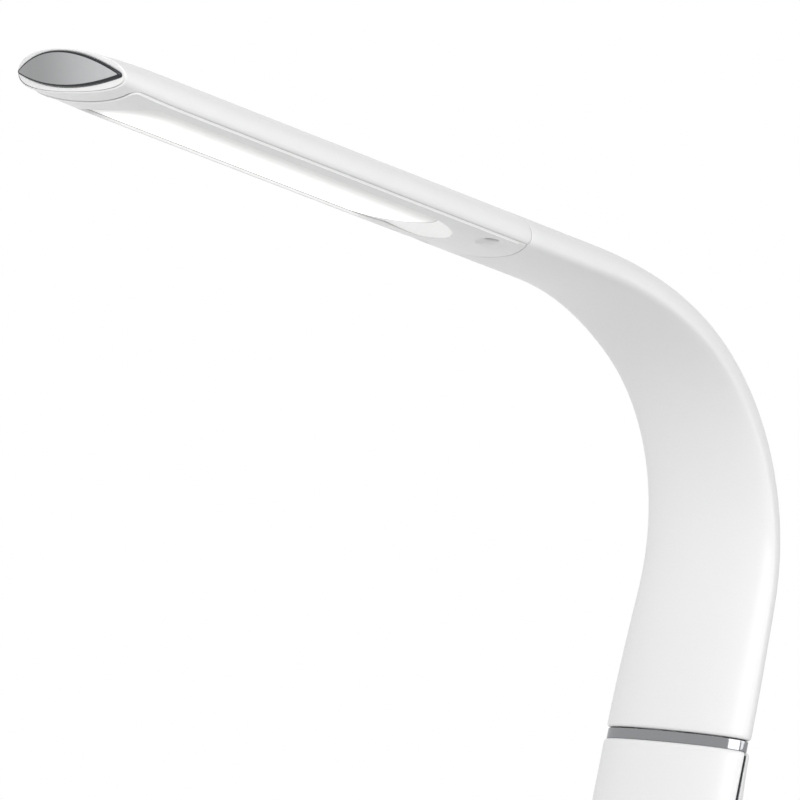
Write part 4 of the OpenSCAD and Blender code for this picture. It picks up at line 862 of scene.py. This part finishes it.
# %% [markdown]
# A plan is lifted on to the head's oval by `belly_q`, which gives the height of the skin at each
# place. The rim of the cover is rounded, and just inside it runs a fine raised bead, the line
# that shows along the seam. The bead fades out at the arm's end.

# %% Rim and bead of the belly cover
rim_r, rim_inset = 0.3, 0.08
bead_h, bead_start, bead_fade_l = 0.35, 1.0, 4.0
bead_fall = ((0.12, 0.9), (0.25, 0.6), (0.4, 0.25), (0.55, 0.05), (0.8, 0.0))   # inwards, share of height
flat_from = rim_inset + rim_r + bead_fall[-1][0]
def belly_q(x, s, depth=0.0):
    w, top, mid, low = section(s)
    share = np.clip(np.abs(x) / (w / 2 - depth), 0, 1)
    return mid + (low + depth - mid) * (1 - share ** roundness) ** (1 / roundness)

def lifted(loop, up=0.0):
    return at_line(loop[:, 0], belly_q(loop[:, 0], loop[:, 1]) + up, loop[:, 1])

bead = bead_h * np.clip((border[:, 1] - s_joint - bead_start) / bead_fade_l, 0, 1)
edge = []
for p in quarter_round:
    ring = moved_in(border, rim_inset + rim_r * (1 - math.cos(p)))
    edge.append(lifted(ring, rim_r - (rim_r + bead) * math.sin(p)))
for further, share in bead_fall:
    edge.append(lifted(moved_in(border, rim_inset + rim_r + further), -share * bead))
print("rim and bead:", len(edge), "rings")

# %% [markdown]
# A painted highlight brightens the inner flank of the bead along the head, but not across the
# arm's end: a glow in its finish. So the bead is cut into two grids, and the one along the head
# takes the finish with the painted glow.

# %% Stretch of the bead with a painted highlight, and plain stretch
painted_glow_from = 2.5
flank = slice(edge_steps - 1, edge_steps + 4)
def cut_bead():
    # the stretch from here along the head gets the painted highlight
    ahead = border[:, 1] > s_joint + painted_glow_from
    start = int(np.argmax(ahead & ~np.roll(ahead, 1)))
    count = int(ahead.sum())
    rings = [np.roll(r, -start, axis=0) for r in edge[flank]]
    lit = np.stack([r[:count] for r in rings])
    return [lit, np.stack([np.concatenate([r[count - 1:], r[:1]]) for r in rings])]

bead_grids = cut_bead()
print("bead: %d points lit, %d plain" % (bead_grids[0].shape[1], bead_grids[1].shape[1]))

# %% [markdown]
# The opening has a rounded rim. At its rear end a short ramp leads down to the face of the lens,
# and below the ramp a step goes on to the inner side of the cover.

# %% Rim, ramp and step of the lens opening
opening_r = 0.35
below_lens_face = 0.05
lens_floor = lens_loop(0.0, lens_taper_l - lens_ramp_l)
def lens_opening():
    rim = lens_loop()
    rings = [lifted(lens_loop(opening_r * (1 - math.sin(p))), opening_r * (1 - math.cos(p)))
             for p in quarter_round]
    slope = (rim[:, 1] - s_joint - lens_back) / lens_ramp_l * (head_belly - lens_edge) - head_belly
    ramp_q = np.maximum(belly_q(rim[:, 0], rim[:, 1]) + opening_r, np.minimum(slope, -lens_edge))
    rings.append(at_line(rim[:, 0], ramp_q, rim[:, 1]))
    foot = at_line(lens_floor[:, 0], -lens_edge - below_lens_face + 0 * slope, lens_floor[:, 1])
    low_end = at_line(lens_floor[:, 0], lens_low - below_lens_face, lens_floor[:, 1])
    return rings, [rings[-1], foot], [foot, low_end]

opening, ramp, step = lens_opening()
print("opening:", len(opening), "rings and a ramp", lens_ramp_l, "mm long")

# %% [markdown]
# Each screw well is a round dish. It starts on the curved skin and ends flat, so its rings blend
# from the one to the other, and a straight hole goes on from its bottom.

# %% Screw wells
well_r, well_hole = 4.95, 2.5
well_profile = [(well_r, 0.0), (4.85, 0.05), (4.65, 0.2), (4.2, 0.45), (3.5, 0.7), (3.0, 0.85),
                (2.75, 0.95), (well_hole, 1.3)]           # radius, depth
def screw_well(x):
    base_q = belly_q(x, well_s)
    rings = []
    for r, deep in well_profile:
        ring = circle(x, well_s, r)
        blend = (well_r - r) / (well_r - well_hole)
        q = (1 - blend) * belly_q(ring[:, 0], ring[:, 1]) + blend * base_q + deep
        rings.append(at_line(ring[:, 0], q, ring[:, 1]))
    rings.append(at_line(ring[:, 0], lens_low, ring[:, 1]))
    return rings

well_places = (-well_x, well_x)
wells = [screw_well(x) for x in well_places]
print("wells:", len(wells), "with", len(wells[0]), "rings each")

# %% [markdown]
# The skin between rim, opening and wells is filled from the plan. The inner side is filled too,
# without inner points: it only has to close the piece. It lies near the skin along the border and
# on one level round the opening and the wells.

# %% Skin and inner side of the belly cover
plan_step = 2.5
same_place = 1e-6               # square millimetres
inner_inset, inner_rise = wall * 0.9, wall * 0.55
inner_border = moved_in(border, inner_inset)
def cover_skin():
    holes = [lens_loop(opening_r)] + [circle(x, well_s, well_r) for x in well_places]
    plan, faces = fill([moved_in(border, flat_from)] + holes, plan_step)
    return to_row(at_line(plan[:, 0], belly_q(plan[:, 0], plan[:, 1]), plan[:, 1])), faces

def cover_inside():
    holes = [lens_floor] + [circle(x, well_s, well_hole) for x in well_places]
    plan, faces = fill([inner_border] + holes, 0)
    on_border = nearest(plan, inner_border) < same_place
    on_opening = nearest(plan, lens_floor) < same_place
    level = np.where(on_opening, lens_low - below_lens_face, lens_low)
    height = np.where(on_border, belly_q(plan[:, 0], plan[:, 1]) + inner_rise, level)
    return to_row(at_line(plan[:, 0], height, plan[:, 1])), faces

# %% [markdown]
# Now the grids and the two filled plans are sewn into one closed piece. The ramp and the bead's
# stretch along the head come first in the list and take the second finish, whose painted glow
# stands for the lens's light on the ramp and for a highlight on the bead.

# %% Belly cover
def belly_cover():
    rings = [edge[:flank.start + 1], edge[flank.stop - 1:], opening, step, *wells,
             [edge[0], lifted(inner_border, inner_rise)]]
    # painted light: the ramp and the bead's stretch along the head glow in the second finish
    grids = [np.stack([closed(r) for r in ramp]), *bead_grids]
    grids += [np.stack([closed(r) for r in group]) for group in rings]
    obj = mesh_object("head_belly_cover", [to_row(g) for g in grids], [cover_skin(), cover_inside()],
                      second=(0, 1))
    finish_piece(obj, "arm", "casing", painted_seam_shade_casing, "head_lower_cover", second=painted_glow_casing)
belly_cover()

# %% [markdown]
# The lens is one moulded panel that closes the opening from inside. It sits a little below the
# rim, with a fine gap all round and softly rounded edges, so that its border reads as a line.

# %% Opal lens in the opening
lens_r, lens_gap, lens_top = 0.12, 0.05, 0.3
lens_steps, lens_plan_step = 5, 5.0
def opal_panel():
    taper = lens_taper_l - lens_ramp_l
    rings = []
    for p in np.linspace(0, math.pi / 2, lens_steps + 1):
        ring = lens_loop(-lens_gap - lens_r * (1 - math.sin(p)), taper)
        rings.append(at_line(ring[:, 0], -lens_edge + lens_r * (1 - math.cos(p)), ring[:, 1]))
    ring = lens_loop(-lens_gap, taper)
    rings.append(at_line(ring[:, 0], lens_top, ring[:, 1]))
    plan, faces = fill([lens_loop(-lens_gap - lens_r, taper)], lens_plan_step)
    back_plan, back_faces = fill([ring], 0)
    filled = [(to_row(at_line(plan[:, 0], -lens_edge, plan[:, 1])), faces),
              (to_row(at_line(back_plan[:, 0], lens_top, back_plan[:, 1])), back_faces)]
    obj = mesh_object("opal_panel", [to_row(np.stack([closed(r) for r in rings]))], filled)
    finish_piece(obj, "arm", "opal_lens", lens_glow, "diffuser_lens")
opal_panel()

# %% [markdown]
# The tip's plate is set in a dark chrome frame that stands out of the casing. The frame has a
# softly rounded shoulder, which is where it catches the light. Its inner edge sits a touch to one
# side, so the frame is finer at that end.

# %% Bezel and mirror plate of the tip
half_turn_points, almond_spread = 161, 0.8
inner_shift, shift_share = -0.4, 0.8
plate_gap, plate_bevel = 0.02, 0.04
seat, plate_face = 0.1 - tip_proud + plate_t, 0.1 - tip_proud
shoulder = [(0.0, bezel_h), (0.0, 0.0), (0.0, -0.45), (-0.03, -0.66), (-0.1, -0.82), (-0.2, -0.93),
            (-0.32, -0.98), (-0.43, -0.96), (-0.5, -0.91), (-bezel_w, -0.84),
            (-bezel_w, seat)]                             # growth of the almond, depth
tip_turns = np.concatenate([np.linspace(0, 180, half_turn_points), np.linspace(180, 360, half_turn_points)])
tip_share = signed_power(np.cos(np.radians(tip_turns)), almond_spread)
tip_above = np.arange(len(tip_turns)) < half_turn_points
def tip_ring(grow, depth, scale=1.0):
    """A closed ring in the tip: the almond grown or shrunk, sunk by depth and drawn together."""
    x, q = almond(tip_share, tip_above, grow)
    x = x + max(inner_shift, shift_share * grow)
    x, q = x * scale, tip_mid + (q - tip_mid) * scale
    return at_line(x, q, tip_cut(x, q) - depth)

def tip_bezel():
    rings = [tip_ring(0.0, bezel_h, k) for k in (0.0, 0.5)]
    rings += [tip_ring(grow, depth) for grow, depth in shoulder]
    rings += [tip_ring(-bezel_w, seat, k) for k in (0.5, 0.0)]
    obj = mesh_object("tip_bezel_frame", [to_row(np.stack(rings))])
    finish_piece(obj, "arm", "dark_chrome", dark_chrome, "tip_bezel")

def tip_mirror():
    rim = -bezel_w - plate_gap
    rings = [tip_ring(rim, seat - plate_gap, k) for k in (0.0, 0.5, 1.0)]
    rings += [tip_ring(rim, plate_face + plate_bevel), tip_ring(rim - plate_bevel, plate_face)]
    rings += [tip_ring(rim - plate_bevel, plate_face, k) for k in (0.9, 0.75, 0.6, 0.45, 0.3, 0.15, 0.0)]
    obj = mesh_object("tip_mirror_plate", [to_row(np.stack(rings))])
    finish_piece(obj, "arm", "mirror_plate", brushed_with_painted_sheen, "tip_plate")
tip_bezel()
tip_mirror()

# %% [markdown]
# ## Collar and stem
# The chrome band is a short oval tube that stands a little back from the casings above and below
# it. Its outer edges are rounded, its ends are flat, and the hollow shaft passes through its bore.

# %% Collar band
collar_bore_r, collar_edge_r, collar_row_step = 3.85, 0.15, 0.8
collar_t = np.linspace(0, 360, 241)
def collar_ring(z, depth):
    sunk = collar_inset + depth
    c, d = np.cos(np.radians(collar_t)), np.sin(np.radians(collar_t))
    reach = np.where(d > 0, collar_back - sunk, collar_front - sunk)
    x = (collar_w / 2 - sunk) * signed_power(c, 2 / roundness)
    return np.stack([x, reach * signed_power(d, 2 / roundness), 0 * collar_t + z], -1)

def bore_ring(z):
    turned = np.radians(collar_t)
    return collar_bore_r * np.stack([np.cos(turned), np.sin(turned), 0 * turned], -1) + [0, 0, z]

def collar_band():
    low, high = -collar_h / 2, collar_h / 2
    rows = lines(low, high, collar_row_step, collar_edge_r, collar_edge_r)
    rings = [bore_ring(low)] + [collar_ring(z, d) for z, d in rows] + [bore_ring(high), bore_ring(low)]
    obj = mesh_object("collar_band", [to_row(np.stack(rings))])
    finish_piece(obj, "stem", "chrome", chrome_ring, "collar_ring")
collar_band()

# %% [markdown]
# The stem has a shallow front cover and a deeper rear one that swells just below the collar, with
# a dark strip in the seam on each side. Both covers follow one rule, `stem_skin`, like the arm.

# %% Stem covers
barrel_r, barrel_play = 11.7, 1.8
stem_top, stem_end = -collar_h / 2, -stem_l + barrel_r + barrel_play
stem_back, stem_swell_l, rear_roundness = 16.0, 42.0, 2.6
stem_seam = 3.0                 # degrees from the side edge
stem_row_step, stem_turn_step = 2.0, 2.5
z_measured = -80.0              # millimetres are turned to degrees at this height
def stem_skin(z, t, depth=0.0):
    z, t, depth = np.broadcast_arrays(np.asarray(z, float), t, depth)
    c, d = np.cos(np.radians(t)), np.sin(np.radians(t))
    n = np.where(d > 0, rear_roundness, roundness)
    rear = ease(collar_back, stem_back, (stem_top - z) / stem_swell_l)
    reach = np.where(d > 0, rear - depth, collar_front - depth)
    x = (collar_w / 2 - depth) * signed_power(c, 2 / n)
    return np.stack([x, reach * signed_power(d, 2 / n), z], -1)

def stem_mm_per_degree(t):
    apart = stem_skin(z_measured, t + 0.25) - stem_skin(z_measured, t - 0.25)
    return float(np.linalg.norm(apart) / 0.5)

def stem_cover(name, start, end, stands_for):
    a, b = seam_r / stem_mm_per_degree(start), seam_r / stem_mm_per_degree(end)
    turns = lines(start, end, stem_turn_step, a, b)
    turns[:, 1] *= seam_r / a
    rows = lines(stem_end, stem_top, stem_row_step, end_r, end_r)
    depth = np.maximum(rows[:, 1:], turns[:, 1][None, :])
    z = rows[:, :1] + 0 * depth
    grids = shell(stem_skin(z, turns[:, 0], depth), stem_skin(z, turns[:, 0], wall))
    obj = mesh_object(name, [to_row(g) for g in grids])
    finish_piece(obj, "stem", "casing", casing, stands_for)

stem_cover("stem_front_casing", 180 + stem_seam, 360 - stem_seam, "stem_front_cover")
stem_cover("stem_rear_casing", stem_seam, 180 - stem_seam, "stem_rear_cover")

# %% [markdown]
# ## Screws
# A screw is turned once as a mesh: rings from the point of the shank to the bottom of its hexagon
# socket. A node tree then sets a copy on every point of a list, turned to that point's direction.

# %% One screw
screw_sides, socket_taper = 48, 0.92
def screw_mesh(name, profile, socket_r, socket_depth):
    """A turned screw. The profile runs from shank to head as (radius, height) in millimetres."""
    a = np.radians(np.linspace(0, 360, screw_sides + 1))
    hexagon = math.cos(math.pi / 6) / np.cos(np.mod(a, math.pi / 3) - math.pi / 6)
    top = profile[-1][1]
    rings = [(0 * a, profile[0][1])] + [(r + 0 * a, z) for r, z in profile]
    rings += [(socket_r * hexagon, top), (socket_r * socket_taper * hexagon, top - socket_depth),
              (0 * a, top - socket_depth)]
    grid = np.stack([np.stack([r * np.cos(a), r * np.sin(a), z + 0 * a], -1) for r, z in rings]) * MM
    return mesh_object(name, [grid], sharp=30.0)

pan_profile = [(0.4, -4.8), (1.23, -4.0), (1.23, 0.0), (2.2, 0.0), (2.2, 0.75), (2.12, 1.02),
               (1.9, 1.25), (1.6, 1.36), (1.3, 1.4)]
flat_profile = [(0.4, -5.5), (1.23, -4.7), (1.23, -1.3), (2.46, -0.06), (2.42, 0.0)]
pan_head = screw_mesh("pan_head", pan_profile, 0.95, 0.7)
flat_head = screw_mesh("flat_head", flat_profile, 1.1, 0.75)

# %% [markdown]
# The tree takes a cloud of points and puts the chosen screw on each. It could be done with a loop
# of copied objects, but one tree serves every group of screws and leaves a single mesh. The
# attribute `facing` on each point says where its screw looks.

# %% A node tree that sets screws on points
screw_inputs = (("Geometry", "Geometry"), ("Screw", "Object"), ("Finish", "Material"), ("Size", "Float"))
def screws_on_points():
    tree = bpy.data.node_groups.new("screws_on_points", "GeometryNodeTree")
    for name, kind in screw_inputs:
        tree.interface.new_socket(name, in_out="INPUT", socket_type="NodeSocket" + kind)
    tree.interface.new_socket("Geometry", in_out="OUTPUT", socket_type="NodeSocketGeometry")
    start, end = tree.nodes.new("NodeGroupInput"), tree.nodes.new("NodeGroupOutput")
    screw = tree.nodes.new("GeometryNodeObjectInfo")
    facing = tree.nodes.new("GeometryNodeInputNamedAttribute")
    facing.data_type = "FLOAT_VECTOR"
    facing.inputs["Name"].default_value = "facing"
    turned = tree.nodes.new("FunctionNodeAlignRotationToVector")
    turned.axis = "Z"
    copies = tree.nodes.new("GeometryNodeInstanceOnPoints")
    real = tree.nodes.new("GeometryNodeRealizeInstances")
    finish = tree.nodes.new("GeometryNodeSetMaterial")
    link = tree.links.new
    link(start.outputs["Screw"], screw.inputs["Object"])
    link(facing.outputs["Attribute"], turned.inputs["Vector"])
    link(start.outputs["Geometry"], copies.inputs["Points"])
    link(screw.outputs["Geometry"], copies.inputs["Instance"])
    link(turned.outputs["Rotation"], copies.inputs["Rotation"])
    link(start.outputs["Size"], copies.inputs["Scale"])
    link(copies.outputs["Instances"], real.inputs["Geometry"])
    link(real.outputs["Geometry"], finish.inputs["Geometry"])
    link(start.outputs["Finish"], finish.inputs["Material"])
    link(finish.outputs["Geometry"], end.inputs["Geometry"])
    return tree
screw_tree = screws_on_points()
print("inputs of the screw tree:", [name for name, kind in screw_inputs])

# %% [markdown]
# The tree works as a modifier on a mesh of loose points. Its result is taken over as a plain mesh,
# and the points with their modifier are removed again.

# %% Setting one group of screws
def set_screws(name, screw, places, facing, body, mat, stands_for):
    points = bpy.data.meshes.new(name + "_points")
    points.from_pydata([list(p) for p in places], [], [])
    points.attributes.new("facing", "FLOAT_VECTOR", "POINT").data.foreach_set("vector", np.ravel(facing))
    holder = bpy.data.objects.new(name + "_points", points)
    bpy.context.scene.collection.objects.link(holder)
    modifier = holder.modifiers.new("screws", "NODES")
    modifier.node_group = screw_tree
    for key, value in (("Screw", screw), ("Finish", mat), ("Size", 1.0)):
        modifier[socket_id(screw_tree, key)] = value
    bpy.context.view_layer.update()
    ready = holder.evaluated_get(bpy.context.evaluated_depsgraph_get())
    mesh = bpy.data.meshes.new_from_object(ready)
    bpy.data.objects.remove(holder)
    obj = bpy.data.objects.new(name, mesh)
    bpy.context.scene.collection.objects.link(obj)
    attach(obj, body)
    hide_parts(stands_for)
    print("%s: %d screws, %d faces" % (name, len(places), len(mesh.polygons)))

# %% [markdown]
# Two screws hold the belly cover and look out of its wells. They are seen in the finished lamp,
# and so they get fine round heads.

# %% Screws of the belly cover
head_lift = 0.02
sides = np.array([-well_x, well_x])
seats = to_row(at_line(sides, lens_low - head_lift, well_s))
outward = to_row(at_line(sides, lens_low - 1.0, well_s)) - to_row(at_line(sides, lens_low, well_s))
set_screws("belly_screws", pan_head, seats, outward / MM, "arm", black_oxide, "cover_screws")

# %% [markdown]
# Six flat screws close the base from below. They stand on an oval inside its border, and `facing`
# is simply down for all of them. The two master screws are not needed after that.

# %% Screws of the base
base_w, base_l, base_roundness, boss_inset, pad_t, head_sunk = 130.0, 170.0, 2.4, 8.5, 1.5, 0.1
ring_turn = np.radians(np.arange(0, 360, 60))
across = signed_power(np.round(np.cos(ring_turn), 9), 2 / base_roundness)
ahead = signed_power(np.round(np.sin(ring_turn), 9), 2 / base_roundness)
seats = np.stack([(base_w / 2 - boss_inset) * across, (base_l / 2 - boss_inset) * ahead,
                  0 * ring_turn + pad_t + head_sunk], -1) * MM
down = np.tile([0.0, 0.0, -1.0], (len(ring_turn), 1))
set_screws("underside_screws", flat_head, seats, down, "base", zinc, "base_screws")
for master in (pan_head, flat_head):
    bpy.data.objects.remove(master)

# %% [markdown]
# ## Studio
# A wide soft light stands in front to the right, a second one lights the side of the head, and a
# weak fill comes from the left. The fill would show as a patch in the glossy parts, so it is
# hidden from reflections.

# %% Lights
lit_point = (0, 0, 0.25)        # metres
light_w = 1.6
def area_light(name, place, power, height=None):
    data = bpy.data.lights.new(name, "AREA")
    data.energy, data.size = power, light_w
    if height:
        data.shape, data.size_y = "RECTANGLE", height
    obj = bpy.data.objects.new(name, data)
    obj.location = place
    obj.rotation_euler = (Vector(lit_point) - Vector(place)).to_track_quat("-Z", "Y").to_euler()
    bpy.context.scene.collection.objects.link(obj)
    print("light", name, "at", place, "with", power, "W")
    return obj

area_light("key", (0.76, -1.52, 0.90), 14.5, height=0.9)
area_light("side", (1.78, -0.10, 1.10), 17.0)
fill_light = area_light("fill", (-1.15, -1.45, 0.60), 8.0)
fill_light.visible_glossy = False

# %% [markdown]
# The floor and the world look plain white when seen directly, or in a mirror, or through a clear
# part. For all other light the world is weaker and the floor is a pale grey surface, so the white
# casings keep their shading. The Light Path node tells the two cases apart.

# %% World
world_strength = (0.42, 1.0)    # as light, and as it is seen
def seen_directly(tree):
    """1 where the camera, a mirror or a clear part looks straight at a surface, otherwise 0."""
    path = tree.nodes.new("ShaderNodeLightPath")
    either = [tree.nodes.new("ShaderNodeMath") for k in range(2)]
    for node in either:
        node.operation = "MAXIMUM"
    tree.links.new(path.outputs["Is Camera Ray"], either[0].inputs[0])
    tree.links.new(path.outputs["Is Glossy Ray"], either[0].inputs[1])
    tree.links.new(either[0].outputs[0], either[1].inputs[0])
    tree.links.new(path.outputs["Is Transmission Ray"], either[1].inputs[1])
    return either[1].outputs[0]

world = bpy.data.worlds.new("studio")
bpy.context.scene.world = world
world.use_nodes = True
tree = world.node_tree
background = tree.nodes["Background"]
background.inputs["Color"].default_value = (1, 1, 1, 1)
strength = change_range(tree, seen_directly(tree), (0, 1), world_strength)
tree.links.new(strength, background.inputs["Strength"])
print("world:", world.name, "strength", world_strength)

# %% [markdown]
# The floor is one large square just under the rubber pad. It is a pale grey that takes the lamp's
# shadow where light falls on it, and gives off plain white where it is seen.

# %% Floor
floor_half, floor_z = 6.0, -0.0004
corners = [(x * floor_half, y * floor_half, floor_z) for x, y in ((-1, -1), (1, -1), (1, 1), (-1, 1))]
floor_mesh = bpy.data.meshes.new("floor")
floor_mesh.from_pydata(corners, [], [(0, 1, 2, 3)])
floor = bpy.data.objects.new("floor", floor_mesh)
bpy.context.scene.collection.objects.link(floor)
floor_mat = bpy.data.materials.new("floor_white")
floor_mat.use_nodes = True
tree = floor_mat.node_tree
shader = tree.nodes["Principled BSDF"]
shader.inputs["Base Color"].default_value = (0.72, 0.72, 0.72, 1)
shader.inputs["Roughness"].default_value = 0.9
white = tree.nodes.new("ShaderNodeEmission")
white.inputs["Strength"].default_value = 1.0
mix = tree.nodes.new("ShaderNodeMixShader")
tree.links.new(seen_directly(tree), mix.inputs["Fac"])
tree.links.new(shader.outputs["BSDF"], mix.inputs[1])
tree.links.new(white.outputs["Emission"], mix.inputs[2])
tree.links.new(mix.outputs["Shader"], tree.nodes["Material Output"].inputs["Surface"])
floor_mesh.materials.append(floor_mat)
print("floor: %.0f m square" % (2 * floor_half))

# %% [markdown]
# The camera stands far off with a long lens, in front of the lamp and off to one side, a little
# above the collar. It doesn't look straight at the collar: the collar is to appear below and to
# the right of the middle, by so many pixels of the picture.

# %% Camera
azimuth, elevation, distance = math.radians(42.0), math.radians(5.73), 2.88
focal_mm, sensor_mm, picture_px = 405.0, 36.0, 800
aim_right_px, aim_up_px = -277.8, 339.8
pixels_per_unit = picture_px * focal_mm / sensor_mm
collar = Vector(to_row(np.zeros(3)))
outwards = Vector((math.sin(azimuth) * math.cos(elevation), -math.cos(azimuth) * math.cos(elevation),
                   math.sin(elevation)))
camera_place = collar + distance * outwards
forward = (collar - camera_place).normalized()
right = forward.cross(Vector((0, 0, 1))).normalized()
up = right.cross(forward)
aim = (forward + right * (aim_right_px / pixels_per_unit) + up * (aim_up_px / pixels_per_unit)).normalized()
camera_data = bpy.data.cameras.new("camera")
camera_data.lens, camera_data.sensor_width = focal_mm, sensor_mm
camera_data.clip_start, camera_data.clip_end = 0.05, 50.0
camera = bpy.data.objects.new("camera", camera_data)
camera.location = camera_place
camera.rotation_euler = aim.to_track_quat("-Z", "Y").to_euler()
bpy.context.scene.collection.objects.link(camera)
bpy.context.scene.camera = camera
bpy.context.scene.view_settings.view_transform = "Standard"
print("camera at", [round(v, 3) for v in camera_place])
